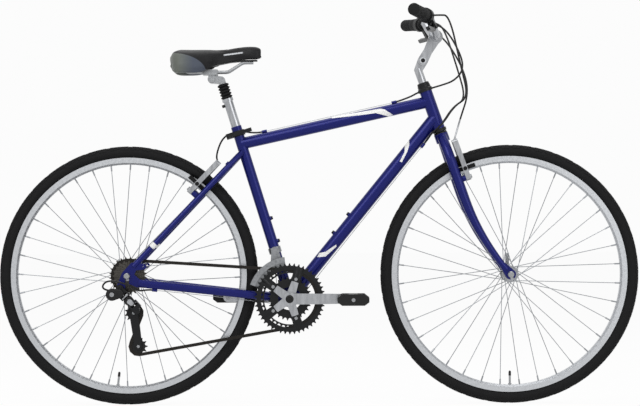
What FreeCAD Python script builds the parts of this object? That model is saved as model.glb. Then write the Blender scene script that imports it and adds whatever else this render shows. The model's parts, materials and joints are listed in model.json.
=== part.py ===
import FreeCAD, Part
import math
import os
import re
import Sketcher
from FreeCAD import Placement, Rotation, Vector

# A hybrid bike, in millimetres. X points forward, Y to the rider's left and Z up.
# The origin lies on the ground, midway between the two axles.

SIZES = {
    # Frame geometry
    "wheelbase": 1030, "tyre_radius": 350, "chainstay_length": 440, "bb_drop": 63,
    "seat_angle": 72.8, "head_angle": 70.8, "fork_offset": 49,
    # Frame tubes; distances run along the seat tube or the steering axis
    "seat_tube_diameter": 28.6, "seat_tube_length": 487, "seat_bore_depth": 252,
    "top_tube_diameter": 31.8, "top_tube_seat": 438, "top_tube_drop": 29,
    "down_tube_diameter": 35, "down_tube_rise": 31,
    "head_tube_diameter": 34, "head_tube_low": 434, "head_tube_length": 107, "head_bore": 30,
    "shell_diameter": 41, "shell_length": 68, "shell_bore": 34,
    "chainstay_width": 16, "chainstay_height": 22, "chainstay_root": 22,
    "stay_end_x": 17, "stay_end_z": 26, "chain_end_x": 29, "chain_end_z": -19, "dropout_radius": 16,
    "seatstay_diameter": 16, "seatstay_top": 418, "seatstay_brake_y": 43, "seatstay_bend": 350,
    "seatstay_top_y": 4, "low_bridge": 66, "hanger_bore": 5,
    "top_stop_front": 428, "top_stop_rear": 68, "down_stop": 547, "down_stop_y": 9, "chain_stop_back": 45,
    "dropout_thickness": 6, "rear_spacing": 135, "front_spacing": 100,
    "bridge_diameter": 12, "bridge_reach": 375,
    "hanger_back": 18, "hanger_drop": 32, "hanger_radius": 11,
    "boss_radius": 5.5, "boss_height": 2.5, "boss_depth": 11, "boss_bore": 4.2,
    "bottle_low": 212, "bottle_step": 64, "bottle_seat": 158,
    "eyelet_x": 44, "eyelet_z": 25, "rack_boss_reach": 404,
    "stop_radius": 4, "stop_length": 14, "stop_bore": 1.3, "stop_rise": 3.2,
    # Fork
    "steerer_diameter": 25.4, "steerer_bore": 22.4, "steerer_top": 557,
    "crown_low": 396, "crown_top": 419.9, "crown_radius": 19,
    "blade_top_diameter": 27, "blade_tip_diameter": 16, "blade_bend": 240, "blade_end": 16,
    "blade_spread": 45, "blade_spread_level": 330, "blade_root": 413, "blade_root_y": 9,
    "tip_thickness": 5.5, "tip_radius": 14,
    # Headset
    "cup_radius": 20, "steerer_gap": 0.3, "lower_cup_height": 8.7, "crown_race_height": 5,
    "upper_cup_height": 11, "locknut_height": 13.7, "locknut_radius": 17.5, "cup_press": 10,
    # Wheels
    "rim_outer": 319, "rim_inner": 300, "rim_width": 24, "rim_wall": 1.9, "rim_floor": 309.5,
    "tyre_width": 38, "bead_radius": 312.3, "valve_radius": 3, "valve_length": 50,
    "spoke_radius": 1, "nipple_radius": 2, "nipple_length": 14, "nipple_seat": 7,
    "spokes_per_side": 18, "spoke_cross": 60, "spoke_stagger": 2.5, "fit_gap": 0.05,
    "front_flange_y": 33, "front_flange_radius": 22.5, "front_hole_radius": 19, "front_barrel": 11,
    "rear_flange_left": 33, "rear_flange_right": 21, "rear_flange_radius": 27,
    "rear_hole_radius": 22.5, "rear_barrel": 15, "flange_thickness": 3,
    "spoke_clear": 2.6, "spoke_head": 1.9, "spoke_head_half": 0.35,
    "hub_bore": 6, "running_gap": 0.1, "freewheel_core": 13,
    "front_phase": 5, "rear_phase": 9, "front_valve_angle": 270, "rear_valve_angle": 264,
    "axle_radius_front": 4.5, "axle_radius_rear": 5, "locknut_width": 7, "axle_nut_radius": 8.5,
    "axle_nut_length": 12, "lever_radius": 6, "lever_length": 52, "lever_gap": 0.3,
    # Drive
    "chain_pitch": 12.7, "roller_radius": 3.87, "seat_radius": 4.05, "tooth_height": 2.6,
    "cage_search": 25, "sleeve_wall": 4, "crank_hub_inner": 46, "pedal_thread": 7,
    "tooth_tip": 0.9, "cog_thickness": 1.8, "chain_links": 112,
    "ring_big": 46, "ring_middle": 38, "ring_small": 28, "ring_big_y": 54.75, "ring_middle_y": 48.25,
    "ring_small_y": 41.05, "ring_big_hole": 48, "ring_middle_hole": 46, "ring_small_hole": 31,
    "chain_cog": 1, "cog_pitch": 4.8, "cog_first_y": 33, "jockey_teeth": 11,
    "plate_radius": 4.2, "plate_thickness": 1, "plate_gap": 0.15, "chain_inner": 1.4,
    "pin_radius": 1.85, "pin_reach": 3.8,
    "crank_length": 170, "crank_inner": 63, "crank_thickness": 12, "crank_hub": 18, "crank_eye": 13,
    "crank_root": 15, "spider_inner": 49.3, "spider_outer": 53.7, "spider_reach": 55, "spider_tab": 9,
    "small_bolt_circle": 37, "small_boss": 5.5, "spindle_radius": 8.5, "spindle_half": 72,
    "pedal_axle_radius": 5, "pedal_axle_length": 92, "pedal_length": 84, "pedal_width": 90,
    "pedal_height": 30, "pedal_edge": 12, "pedal_window": 30, "pedal_rib": 18, "pedal_gap": 3,
    # Rear derailleur
    "pivot_x": 24, "pivot_z": 92, "guide_x": -9, "guide_z": -8, "tension_x": 2, "tension_z": -98,
    "link_lean_x": 0.746, "link_lean_z": 0.666, "link_reach": 28, "link_inward": 28,
    "link_spacing": 14, "link_half": 10, "link_barrel": 4.5,
    "link_pin": 2.2, "link_plate": 3, "knuckle_x": 14, "knuckle_z": -22, "knuckle_y": 88,
    "cheek": 3, "cheek_gap": 0.3, "cage_plate": 1.6, "cage_half": 4.6, "jockey_bolt": 2.6,
    "jockey_boss": 8, "jockey_half": 4.3, "cage_radius": 12, "cage_tip_radius": 10,
    # Front derailleur
    "changer_level": 136, "changer_height": 16, "changer_inner": 84, "changer_outer": 113,
    "changer_low": 98.5, "changer_start": 97, "changer_end": 160, "changer_plate": 1.2,
    "changer_in_y": 40.2, "changer_out_y": 53, "changer_travel": 8, "changer_bridge": 4,
    "guide_rod": 3, "guide_rod_length": 17.5,
    "guide_low_angle": 117, "guide_high_angle": 104, "guide_circle": 101,
    # Brakes
    "brake_pivot": 285, "brake_pivot_y": 42, "brake_stud": 4, "brake_boss": 8, "brake_boss_reach": 22,
    "brake_arm_depth": 13, "brake_arm_length": 102, "brake_arm_root": 9, "brake_arm_tip": 6.5,
    "brake_arm_lean": 5, "pad_circle": 310.5, "pad_gap": 2, "pad_thickness": 10, "pad_length": 60,
    "pad_height": 11, "pad_post": 3, "pad_holder": 4, "pad_level": 25,
    # Handlebar and stem
    "quill_radius": 11.1, "quill_low": 470, "quill_top": 606, "stem_pivot_t": 622, "stem_pivot_n": 20,
    "tongue_half": 9, "tongue_radius": 14, "cheek_half": 17, "stem_bolt": 4, "stem_bolt_head": 9.5,
    "stem_length": 73, "stem_angle": 61.3, "bar_clamp_radius": 18.5, "bar_clamp_half": 21,
    "bar_radius": 11.1, "bar_bulge": 12.7, "bar_bulge_half": 40, "bar_first_y": 46,
    "bar_rise_back": 22, "bar_rise_y": 130, "bar_rise": 44, "bar_end_back": 70, "bar_end_y": 298,
    "bar_end_rise": 53, "bar_bend": 50, "grip_radius": 16.5, "grip_length": 72, "grip_end": 3,
    "twist_length": 52, "twist_radius": 17, "shifter_length": 21, "shifter_radius": 20,
    "bracket_length": 12, "bracket_radius": 16, "grip_step": 0.6, "lever_drop_angle": 60,
    "lever_pivot_out": 32, "lever_blade_out": 46, "lever_blade_length": 92, "lever_blade_half": 5,
    "ear_depth": 4, "lever_half": 4.7, "lever_elbow": 26, "lever_rest": 50,
    "lever_pin": 3, "lever_hub": 7, "barrel_radius": 5, "barrel_length": 26,
    # Cables
    "housing_radius": 2.5, "wire_radius": 0.8, "loop_bend": 70, "tight_bend": 25, "cable_loop": 92,
    # Seat
    "collar_level": 467, "collar_height": 15, "collar_radius": 18.5, "ear_back": 27, "ear_half": 12,
    "collar_slot": 3, "collar_bolt": 3, "collar_lever_length": 62,
    "post_radius": 12.7, "post_low": 290, "post_top": 566, "post_bore": 10, "post_bore_depth": 120,
    "plunger_radius": 9.9, "plunger_insert": 70, "boot_top": 607.5, "boot_radius": 16, "boot_folds": 5,
    "boot_root": 11.5, "boot_wall": 2.2, "plunger_head": 618, "head_half": 18,
    "clamp_back": 24, "clamp_level": 628,
    "clamp_radius": 11, "clamp_half": 28, "clamp_front": 16, "clamp_rear": 24, "clamp_plate": 7,
    "clamp_ear": 3.2, "tilt_pin": 4, "rail_radius": 3.5, "rail_half": 22, "rail_rise": 19,
    "saddle_back": 113.8, "saddle_length": 251, "saddle_rear_half": 86, "saddle_nose_half": 19,
    "saddle_top": 78.2, "saddle_nose_rise": 11, "saddle_skirt": 65, "saddle_nose_depth": 36,
    "shell_rear_half": 68, "shell_nose_half": 12, "shell_level": 33.2, "shell_nose_rise": 15,
    "shell_thickness": 4, "shell_margin": 14,
}

doc = FreeCAD.newDocument("HybridBike")
sheet = doc.addObject("Spreadsheet::Sheet", "Sizes")
for row, (alias, number) in enumerate(SIZES.items(), start=1):
    sheet.set(f"A{row}", alias)
    sheet.set(f"B{row}", str(number))
    sheet.setAlias(f"B{row}", alias)
doc.recompute()
s = sheet

# Directions and reference points

X = Vector(1, 0, 0)
Y = Vector(0, 1, 0)
Z = Vector(0, 0, 1)
SIDES = (1, -1)


def tilted(degrees):
    """A direction in the side plane that leans back from vertical, and its forward normal."""
    angle = math.radians(degrees)
    up = Vector(-math.cos(angle), 0, math.sin(angle))
    return up, Y.cross(up)


rear_axle = Vector(-s.wheelbase / 2, 0, s.tyre_radius)
front_axle = Vector(s.wheelbase / 2, 0, s.tyre_radius)
bb = rear_axle + Vector(math.sqrt(s.chainstay_length ** 2 - s.bb_drop ** 2), 0, -s.bb_drop)
seat_up, seat_forward = tilted(s.seat_angle)
steer_up, steer_forward = tilted(s.head_angle)
steer_foot = front_axle - steer_forward * s.fork_offset
stay_foot = rear_axle + Vector(s.stay_end_x, 0, s.stay_end_z)


def post(level, forward=0.0, y=0.0):
    """A point given along the seat tube axis from the bottom bracket."""
    return bb + seat_up * level + seat_forward * forward + Y * y


def steer(level, forward=0.0, y=0.0):
    """A point given along the steering axis."""
    return steer_foot + steer_up * level + steer_forward * forward + Y * y


stay_up = (post(s.seatstay_top) - stay_foot).normalize()
stay_back = stay_up.cross(Y)
stay_shift = (stay_foot - rear_axle).dot(stay_back)


def stay(level, back=0.0, y=0.0):
    """A point given along the seatstays from beside the rear axle."""
    return rear_axle + stay_up * level + stay_back * (stay_shift + back) + Y * y


# Shape helpers

def cylinder(start, end, radius):
    return Part.makeCylinder(radius, (end - start).Length, start, end - start)


def disc(centre, direction, radius, half):
    """A cylinder centred on a point."""
    return cylinder(centre - direction * half, centre + direction * half, radius)


def fused(shapes):
    return shapes[0].multiFuse(shapes[1:]).removeSplitter()


def prism(points, direction):
    return Part.Face(Part.makePolygon(points + points[:1])).extrude(direction)


def block(origin, axes, low, high):
    """A box between two corners given along three axes."""
    a, b, c = axes
    corners = [(low[0], low[1]), (high[0], low[1]), (high[0], high[1]), (low[0], high[1])]
    base = [origin + a * u + b * v + c * low[2] for u, v in corners]
    return prism(base, c * (high[2] - low[2]))


def capsule(first, first_radius, second, second_radius, direction, depth):
    """A plate around two circles, extruded along a direction."""
    along = second - first
    length = along.Length
    u = along / length
    v = Vector(direction).normalize().cross(u)
    spread = math.acos((first_radius - second_radius) / length)

    def rim(centre, radius, angle):
        return centre + u * (radius * math.cos(angle)) + v * (radius * math.sin(angle))

    a, b = rim(first, first_radius, spread), rim(second, second_radius, spread)
    c, d = rim(second, second_radius, -spread), rim(first, first_radius, -spread)
    edges = [
        Part.LineSegment(a, b), Part.Arc(b, second + u * second_radius, c),
        Part.LineSegment(c, d), Part.Arc(d, first - u * first_radius, a),
    ]
    face = Part.Face(Part.Wire([edge.toShape() for edge in edges]))
    return face.extrude(Vector(direction).normalize() * depth)


def rounded_wire(points, bend):
    """Straight runs joined by arcs that are as large as the runs leave room for."""
    edges = []
    last = points[0]
    share = 0.48
    for before, corner, after in zip(points, points[1:], points[2:]):
        run_in, run_out = corner - before, after - corner
        into, out = Vector(run_in).normalize(), Vector(run_out).normalize()
        half = into.getAngle(out) / 2
        if half < math.radians(0.2):
            continue
        reach = min(bend * math.tan(half), share * run_in.Length, share * run_out.Length)
        start, end = corner - into * reach, corner + out * reach
        inward = (out - into).normalize()
        middle = corner + inward * (reach / math.sin(half) - reach / math.tan(half))
        edges.append(Part.LineSegment(last, start).toShape())
        edges.append(Part.Arc(start, middle, end).toShape())
        last = end
    edges.append(Part.LineSegment(last, points[-1]).toShape())
    return Part.Wire(edges)


def pipe(points, radius, bend):
    wire = rounded_wire(points, bend)
    ring = Part.Wire(Part.makeCircle(radius, points[0], points[1] - points[0]))
    return wire.makePipeShell([ring], True, False)


def tapered(points, radii):
    """A smooth tube through round sections."""
    rings = []
    for index, (point, radius) in enumerate(zip(points, radii)):
        before = points[max(index - 1, 0)]
        after = points[min(index + 1, len(points) - 1)]
        rings.append(Part.Wire(Part.makeCircle(radius, point, after - before)))
    return Part.makeLoft(rings, True, False)


def frame_rotation(along, across):
    """The turn that takes X to one direction and Y as near as can be to another."""
    third = Vector(along).normalize().cross(across)
    return Rotation(along, third.cross(along), third, "XYZ")


# Document helpers

PARTS = {}


def bound(expression):
    """An expression whose words are cells of the sheet."""
    def cell(match):
        word = match.group(0)
        return f"Sizes.{word}" if word in SIZES else word
    return re.sub(r"[a-z]\w*", cell, expression)


def keep(name, item):
    item.Label = name
    PARTS[name] = item
    return item


def feature(name, shape):
    item = doc.addObject("Part::Feature", name)
    item.Shape = shape
    return item


def compound(name, items):
    item = doc.addObject("Part::Compound", name)
    item.Links = items
    return item


def cut(name, base, tool):
    item = doc.addObject("Part::Cut", name)
    item.Base = base
    item.Tool = tool
    return item


def rod(name, start, end, diameter):
    """A straight round bar whose thickness is a cell."""
    item = doc.addObject("Part::Cylinder", name)
    item.setExpression("Radius", bound(f"{diameter} / 2"))
    item.Height = (end - start).Length
    item.Placement = Placement(start, Rotation(Z, end - start))
    return item


def sketched(body, plane, name):
    sketch = body.newObject("Sketcher::SketchObject", name)
    support = [item for item in body.Origin.OriginFeatures if item.Role == plane]
    sketch.AttachmentSupport = [(support[0], "")]
    sketch.MapMode = "FlatFace"
    return sketch


def fix_point(sketch, geometry, place, point):
    """Bind one point of a sketch to two expressions."""
    for kind, expression in zip(("DistanceX", "DistanceY"), point):
        number = float(sketch.evalExpression(bound(expression)))
        index = sketch.addConstraint(Sketcher.Constraint(kind, -1, 1, geometry, place, number))
        sketch.setExpression(f"Constraints[{index}]", bound(expression))


def outline(sketch, entries):
    """Draw a closed outline; an entry that starts with 'arc' bends the edge it follows."""
    corners, arcs = [], {}
    for entry in entries:
        if entry[0] == "arc":
            arcs[len(corners) - 1] = entry[1:]
        else:
            corners.append(entry)

    def located(point):
        x, y = [float(sketch.evalExpression(bound(text))) for text in point]
        return Vector(x, y, 0)

    places = [located(corner) for corner in corners]
    ends = []
    for index, start in enumerate(places):
        end = places[(index + 1) % len(places)]
        if index in arcs:
            middle = located(arcs[index])
            edge = sketch.addGeometry(Part.Arc(start, middle, end), False)
            first = 1 if (sketch.getPoint(edge, 1) - start).Length < s.fit_gap / 10 else 2
            ends.append((edge, first, 3 - first))
            marker = sketch.addGeometry(Part.Point(middle), True)
            sketch.addConstraint(Sketcher.Constraint("PointOnObject", marker, 1, edge))
            fix_point(sketch, marker, 1, arcs[index])
        else:
            edge = sketch.addGeometry(Part.LineSegment(start, end), False)
            ends.append((edge, 1, 2))
    for index, (edge, first, last) in enumerate(ends):
        after, after_first, _ = ends[(index + 1) % len(ends)]
        sketch.addConstraint(Sketcher.Constraint("Coincident", edge, last, after, after_first))
        fix_point(sketch, edge, first, corners[index])


def hole(sketch, x, y, radius):
    """Draw a bound circle."""
    numbers = [float(sketch.evalExpression(bound(text))) for text in (x, y, radius)]
    circle = Part.Circle(Vector(numbers[0], numbers[1], 0), Z, numbers[2])
    edge = sketch.addGeometry(circle, False)
    fix_point(sketch, edge, 3, (x, y))
    index = sketch.addConstraint(Sketcher.Constraint("Radius", edge, numbers[2]))
    sketch.setExpression(f"Constraints[{index}]", bound(radius))


def turned(name, entries, centre, direction):
    """A turned piece: x runs along its axis and y is the radius."""
    body = doc.addObject("PartDesign::Body", name)
    sketch = sketched(body, "XZ_Plane", name + "Profile")
    outline(sketch, entries)
    turn = body.newObject("PartDesign::Revolution", name + "Turn")
    turn.Profile = sketch
    turn.ReferenceAxis = (sketch, ["H_Axis"])
    turn.Angle = 360
    sketch.Visibility = False
    body.Placement = Placement(centre, Rotation(X, direction))
    return body


def padded(name, entries, length, placement, holes=()):
    """A plate drawn in its own XY plane, as thick to each side of it, with round holes."""
    body = doc.addObject("PartDesign::Body", name)
    sketch = sketched(body, "XY_Plane", name + "Profile")
    outline(sketch, entries)
    for x, y, radius in holes:
        hole(sketch, x, y, radius)
    pad = body.newObject("PartDesign::Pad", name + "Pad")
    pad.Profile = sketch
    pad.SideType = "Symmetric"
    pad.setExpression("Length", bound(length))
    body.Placement = placement
    return body


def pocketed(body, plane, name, loops):
    """Cut outlines right through a body."""
    sketch = sketched(body, plane, name + "Profile")
    for entries in loops:
        outline(sketch, entries)
    pocket = body.newObject("PartDesign::Pocket", name)
    pocket.Profile = sketch
    pocket.SideType = "Symmetric"
    pocket.Type = "ThroughAll"
    return pocket


def mirrored(name, source):
    item = doc.addObject("Part::Mirroring", name)
    item.Source = source
    item.Normal = Y
    return item


# Frame

top_low = post(s.top_tube_seat)
top_high = steer(s.head_tube_low + s.head_tube_length - s.top_tube_drop)
down_high = steer(s.head_tube_low + s.down_tube_rise)
down_along = (down_high - bb).normalize()
down_out = Y.cross(down_along)
top_along = (top_high - top_low).normalize()
top_out = Y.cross(top_along)
head_low = steer(s.head_tube_low)
head_high = steer(s.head_tube_low + s.head_tube_length)
hanger = rear_axle + Vector(-s.hanger_back, 0, -s.hanger_drop)
drop_y = s.rear_spacing / 2 + s.dropout_thickness / 2
brake_mid = s.brake_boss_reach + s.lever_gap + s.brake_arm_depth / 2
front_pivot = math.sqrt(s.pad_circle ** 2 - (s.fork_offset - brake_mid) ** 2) - s.pad_level
rear_pivot = math.sqrt(s.pad_circle ** 2 - (stay_shift + brake_mid) ** 2) - s.pad_level


def dropout(side):
    """A rear dropout; the right one carries the derailleur hanger."""
    face = Y * (side * s.rear_spacing / 2)
    depth = s.dropout_thickness
    away = Y * side
    axle = rear_axle + face
    chain_end = axle + Vector(s.chain_end_x, 0, s.chain_end_z)
    stay_end = axle + Vector(s.stay_end_x, 0, s.stay_end_z)
    eyelet = axle + Vector(s.eyelet_x, 0, s.eyelet_z)
    small = s.boss_radius * 1.4
    shapes = [
        capsule(axle, s.dropout_radius, chain_end, s.hanger_radius, away, depth),
        capsule(axle, s.dropout_radius, stay_end, s.hanger_radius, away, depth),
        capsule(stay_end, s.hanger_radius, eyelet, small, away, depth),
    ]
    if side < 0:
        shapes.append(capsule(axle, s.dropout_radius, hanger + face, s.hanger_radius, away, depth))
    return shapes


def slot(axle, opening, radius, spread):
    """The cutter for an open axle slot at both sides of a wheel."""
    width = radius + s.fit_gap
    cutter = [disc(axle, Y, width, spread)]
    cutter.append(block(axle, (opening, opening.cross(Y), Y), (0, -width, -spread),
                        (s.dropout_radius * 2, width, spread)))
    return cutter


def seatstay_y(level):
    """How far a seatstay stands from the middle."""
    bend = s.seatstay_bend
    foot = (stay_foot - rear_axle).dot(stay_up)
    if level <= bend:
        return drop_y + (s.seatstay_brake_y - drop_y) * (level - foot) / (bend - foot)
    top = (post(s.seatstay_top) - rear_axle).dot(stay_up)
    share = (level - bend) / (top - bend)
    return s.seatstay_brake_y - (s.seatstay_brake_y - s.seatstay_top_y) * share ** 2


def seatstay(side):
    foot = (stay_foot - rear_axle).dot(stay_up)
    top = (post(s.seatstay_top) - rear_axle).dot(stay_up)
    count = 9
    levels = [foot + (top - foot) * index / (count - 1) for index in range(count)]
    points = [stay(level, 0, side * seatstay_y(level)) for level in levels]
    return tapered(points, [s.seatstay_diameter / 2] * count)


def chainstay(side):
    """An oval bar from the bottom bracket shell to the dropout."""
    start = bb + Vector(-s.shell_diameter / 4, side * s.chainstay_root, 0)
    end = rear_axle + Vector(s.chain_end_x, side * drop_y, s.chain_end_z)
    along = end - start
    oval = Part.Ellipse(Vector(), s.chainstay_height / 2, s.chainstay_width / 2).toShape()
    face = Part.Face(Part.Wire(oval))
    upright = along.cross(Y).normalize()
    face.Placement = Placement(start, Rotation(upright, along.cross(upright), along, "ZXY"))
    return face.extrude(along)


def brake_stud(place, level, side):
    y = side * s.brake_pivot_y
    return [
        cylinder(place(level, 0, y), place(level, s.brake_boss_reach, y), s.brake_boss),
        cylinder(place(level, 0, y), place(level, brake_mid + s.brake_arm_depth / 2 + 1, y), s.brake_stud),
    ]


BOSSES = []


def boss(root, direction, wall, depth=None):
    """A threaded boss that stands a little out of a wall; its bore is noted for the cutter."""
    mouth = root + direction * (wall + s.boss_height)
    reach = depth or s.boss_depth
    BOSSES.append(cylinder(mouth - direction * reach, mouth + direction, s.boss_bore / 2))
    return cylinder(root + direction * (wall / 2), mouth, s.boss_radius)


def stop(middle, along):
    """A cable stop with its bore."""
    half = along * (s.stop_length / 2)
    BOSSES.append(cylinder(middle - along * s.stop_length, middle + along * s.stop_length, s.stop_bore))
    return cylinder(middle - half, middle + half, s.stop_radius)


top_stop_off = s.top_tube_diameter / 2 + s.stop_rise
down_stop_off = s.down_tube_diameter / 2 + s.stop_rise
top_stop_front = top_low + top_along * s.top_stop_front + top_out * -top_stop_off
top_stop_rear = top_low + top_along * s.top_stop_rear + top_out * -top_stop_off
down_stops = {
    side: bb + down_along * s.down_stop + down_out * down_stop_off + Y * (side * s.down_stop_y)
    for side in SIDES
}
chain_root = bb + Vector(-s.shell_diameter / 4, -s.chainstay_root, 0)
chain_tip = rear_axle + Vector(s.chain_end_x, -drop_y, s.chain_end_z)
chain_along = (chain_tip - chain_root).normalize()
chain_stop = chain_tip - chain_along * s.chain_stop_back
chain_stop_drop = Z * (s.chainstay_height / 2 + s.stop_rise)
chain_stop -= chain_stop_drop

pieces = [
    rod("SeatTube", bb, post(s.seat_tube_length), "seat_tube_diameter"),
    rod("TopTube", top_low, top_high, "top_tube_diameter"),
    rod("DownTube", bb, down_high, "down_tube_diameter"),
    rod("HeadTube", head_low, head_high, "head_tube_diameter"),
    rod("Shell", bb - Y * (s.shell_length / 2), bb + Y * (s.shell_length / 2), "shell_diameter"),
]
fittings = []
for side in SIDES:
    fittings += dropout(side)
    fittings += [seatstay(side), chainstay(side)]
    fittings += brake_stud(stay, rear_pivot, side)
    rack_y = side * seatstay_y(s.rack_boss_reach)
    fittings.append(boss(stay(s.rack_boss_reach, 0, rack_y), stay_back, s.seatstay_diameter / 2))
    eye = rear_axle + Vector(s.eyelet_x, side * s.rear_spacing / 2, s.eyelet_z)
    fittings.append(boss(eye, Y * side, s.dropout_thickness, s.boss_depth * 2))
    fittings.append(stop(down_stops[side], down_along))
bridge_y = seatstay_y(s.bridge_reach)
fittings.append(cylinder(stay(s.bridge_reach, 0, -bridge_y), stay(s.bridge_reach, 0, bridge_y),
                         s.bridge_diameter / 2))
low_bridge = bb + Vector(-s.low_bridge, 0, 0)
fittings.append(disc(low_bridge, Y, s.bridge_diameter / 2, s.chainstay_root + s.chainstay_width / 2))
for step in (0, s.bottle_step):
    fittings.append(boss(bb + down_along * (s.bottle_low + step), down_out * -1,
                         s.down_tube_diameter / 2))
    fittings.append(boss(post(s.bottle_seat + step), seat_forward, s.seat_tube_diameter / 2))
fittings += [stop(top_stop_front, top_along), stop(top_stop_rear, top_along), stop(chain_stop, chain_along)]
pieces += [feature(f"Fitting{index}", shape) for index, shape in enumerate(fittings)]
raw_frame = doc.addObject("Part::MultiFuse", "RawFrame")
raw_frame.Shapes = pieces
raw_frame.Refine = True
bores = [
    cylinder(head_low - steer_up * 2, head_high + steer_up * 2, s.head_bore / 2),
    cylinder(head_low - steer_up * s.lower_cup_height, head_low, s.cup_radius + s.lever_gap),
    cylinder(post(s.seat_tube_length - s.seat_bore_depth), post(s.seat_tube_length + 2),
             s.post_radius + s.fit_gap),
    disc(bb, Y, s.shell_bore / 2, s.shell_length),
    disc(hanger - Y * drop_y, Y, s.hanger_bore, s.dropout_thickness),
]
bores += slot(rear_axle, Z * -1, s.axle_radius_rear, s.rear_spacing)
keep("frame", cut("Frame", raw_frame, compound("FrameBores", [
    feature(f"FrameBore{index}", shape) for index, shape in enumerate(bores + BOSSES)])))

cups = [
    turned("UpperCup", [
        ("-cup_press", "steerer_diameter / 2 + steerer_gap"), ("-cup_press", "head_bore / 2 - fit_gap"),
        ("0", "head_bore / 2 - fit_gap"), ("0", "cup_radius"), ("upper_cup_height * 0.7", "cup_radius"),
        ("upper_cup_height", "locknut_radius"),
        ("upper_cup_height", "steerer_diameter / 2 + steerer_gap"),
    ], head_high, steer_up),
    turned("LowerCup", [
        ("-cup_press", "steerer_diameter / 2 + steerer_gap"), ("-cup_press", "head_bore / 2 - fit_gap"),
        ("0", "head_bore / 2 - fit_gap"), ("0", "cup_radius"),
        ("lower_cup_height", "cup_radius - 1"),
        ("lower_cup_height", "steerer_diameter / 2 + steerer_gap"),
    ], head_low, steer_up * -1),
    turned("BottomBracket", [
        ("-shell_length / 2 - 2.5", "spindle_radius + running_gap"),
        ("-shell_length / 2 - 2.5", "shell_diameter / 2 - 1.5"),
        ("-shell_length / 2", "shell_diameter / 2 - 1.5"),
        ("-shell_length / 2", "shell_bore / 2 - fit_gap"),
        ("shell_length / 2", "shell_bore / 2 - fit_gap"),
        ("shell_length / 2", "shell_diameter / 2 - 1.5"),
        ("shell_length / 2 + 2.5", "shell_diameter / 2 - 1.5"),
        ("shell_length / 2 + 2.5", "spindle_radius + running_gap"),
    ], bb, Y),
]
keep("bearing_cups", compound("BearingCups", cups))

# Seat collar and its lever

collar_turn = Rotation(seat_forward, Y, seat_up, "XYZ")
collar = padded("Collar", [
    ("-sqrt(collar_radius^2 - ear_half^2)", "ear_half"), ("arc", "collar_radius", "0"),
    ("-sqrt(collar_radius^2 - ear_half^2)", "-ear_half"),
    ("-ear_back - collar_bolt * 2", "-ear_half"), ("-ear_back - collar_bolt * 2", "ear_half"),
], "collar_height", Placement(post(s.collar_level), collar_turn), [
    ("0", "0", "seat_tube_diameter / 2 + fit_gap"),
])
pocketed(collar, "XY_Plane", "CollarSlot", [[
    ("-ear_back * 2", "-collar_slot / 2"), ("-seat_tube_diameter / 3", "-collar_slot / 2"),
    ("-seat_tube_diameter / 3", "collar_slot / 2"), ("-ear_back * 2", "collar_slot / 2"),
]])
body_sketch = sketched(collar, "XZ_Plane", "CollarBoltProfile")
hole(body_sketch, "-ear_back", "0", "collar_bolt + fit_gap")
bolt_hole = collar.newObject("PartDesign::Pocket", "CollarBoltHole")
bolt_hole.Profile = body_sketch
bolt_hole.SideType = "Symmetric"
bolt_hole.Type = "ThroughAll"
ear = s.ear_half + s.fit_gap
collar_bolt = feature("CollarBolt", fused([
    cylinder(post(s.collar_level, -s.ear_back, -ear - 4), post(s.collar_level, -s.ear_back, ear + 7),
             s.collar_bolt),
    cylinder(post(s.collar_level, -s.ear_back, -ear - 4), post(s.collar_level, -s.ear_back, -ear),
             s.lever_radius),
    cylinder(post(s.collar_level, -s.ear_back, ear), post(s.collar_level, -s.ear_back, ear + 7),
             s.lever_radius),
]))
keep("seat_collar", compound("SeatCollar", [collar, collar_bolt]))


def cam_lever(centre, axis, along, out, length):
    """A quick-release lever: a cam barrel and a slightly bent blade."""
    half = s.lever_radius
    elbow = centre + along * (length * 0.45) + out * (s.lever_radius * 0.5)
    tip = centre + along * length + out * (s.lever_radius * 0.4)
    low = axis * -(half - 1)
    width = 2 * (half - 1)
    return fused([
        disc(centre, axis, s.lever_radius, half),
        capsule(centre + low, s.lever_radius * 0.75, elbow + low, s.lever_radius * 0.55, axis, width),
        capsule(elbow + low, s.lever_radius * 0.55, tip + low, s.lever_radius * 0.6, axis, width),
    ])


collar_lever_y = -ear - 4 - s.lever_gap - s.lever_radius
keep("seat_collar_lever", feature("CollarLever", cam_lever(
    post(s.collar_level, -s.ear_back, collar_lever_y), seat_up, seat_forward, Y * -1,
    s.collar_lever_length)))

# Wheels

SPREAD = {"front": {1: s.front_flange_y, -1: s.front_flange_y},
          "rear": {1: s.rear_flange_left, -1: s.rear_flange_right}}
CENTRE = {"front": front_axle, "rear": rear_axle}
PHASE = {"front": s.front_phase, "rear": s.rear_phase}
HOLES = {"front": s.front_hole_radius, "rear": s.rear_hole_radius}
VALVE = {"front": s.front_valve_angle, "rear": s.rear_valve_angle}


def polar(centre, degrees, radius):
    angle = math.radians(degrees)
    return centre + Vector(math.cos(angle), 0, math.sin(angle)) * radius


def spoke_lines(wheel):
    """Each spoke's ends, and the step along its hub hole towards its head."""
    step = 360 / s.spokes_per_side
    for side in SIDES:
        for index in range(int(s.spokes_per_side)):
            angle = PHASE[wheel] + index * step + (0 if side > 0 else step / 2)
            leading = index % 2 == 0
            outward = side * (s.flange_thickness / 2 + s.spoke_clear) * (1 if leading else -1)
            hub_point = polar(CENTRE[wheel], angle, HOLES[wheel])
            hub_point += Y * (side * SPREAD[wheel][side] + outward)
            turn = s.spoke_cross if leading else -s.spoke_cross
            rim_point = polar(CENTRE[wheel], angle + turn, s.rim_inner) + Y * (side * s.spoke_stagger)
            head_step = -outward - math.copysign(s.flange_thickness / 2 + s.spoke_head_half, outward)
            yield hub_point, rim_point, Y * head_step


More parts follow.
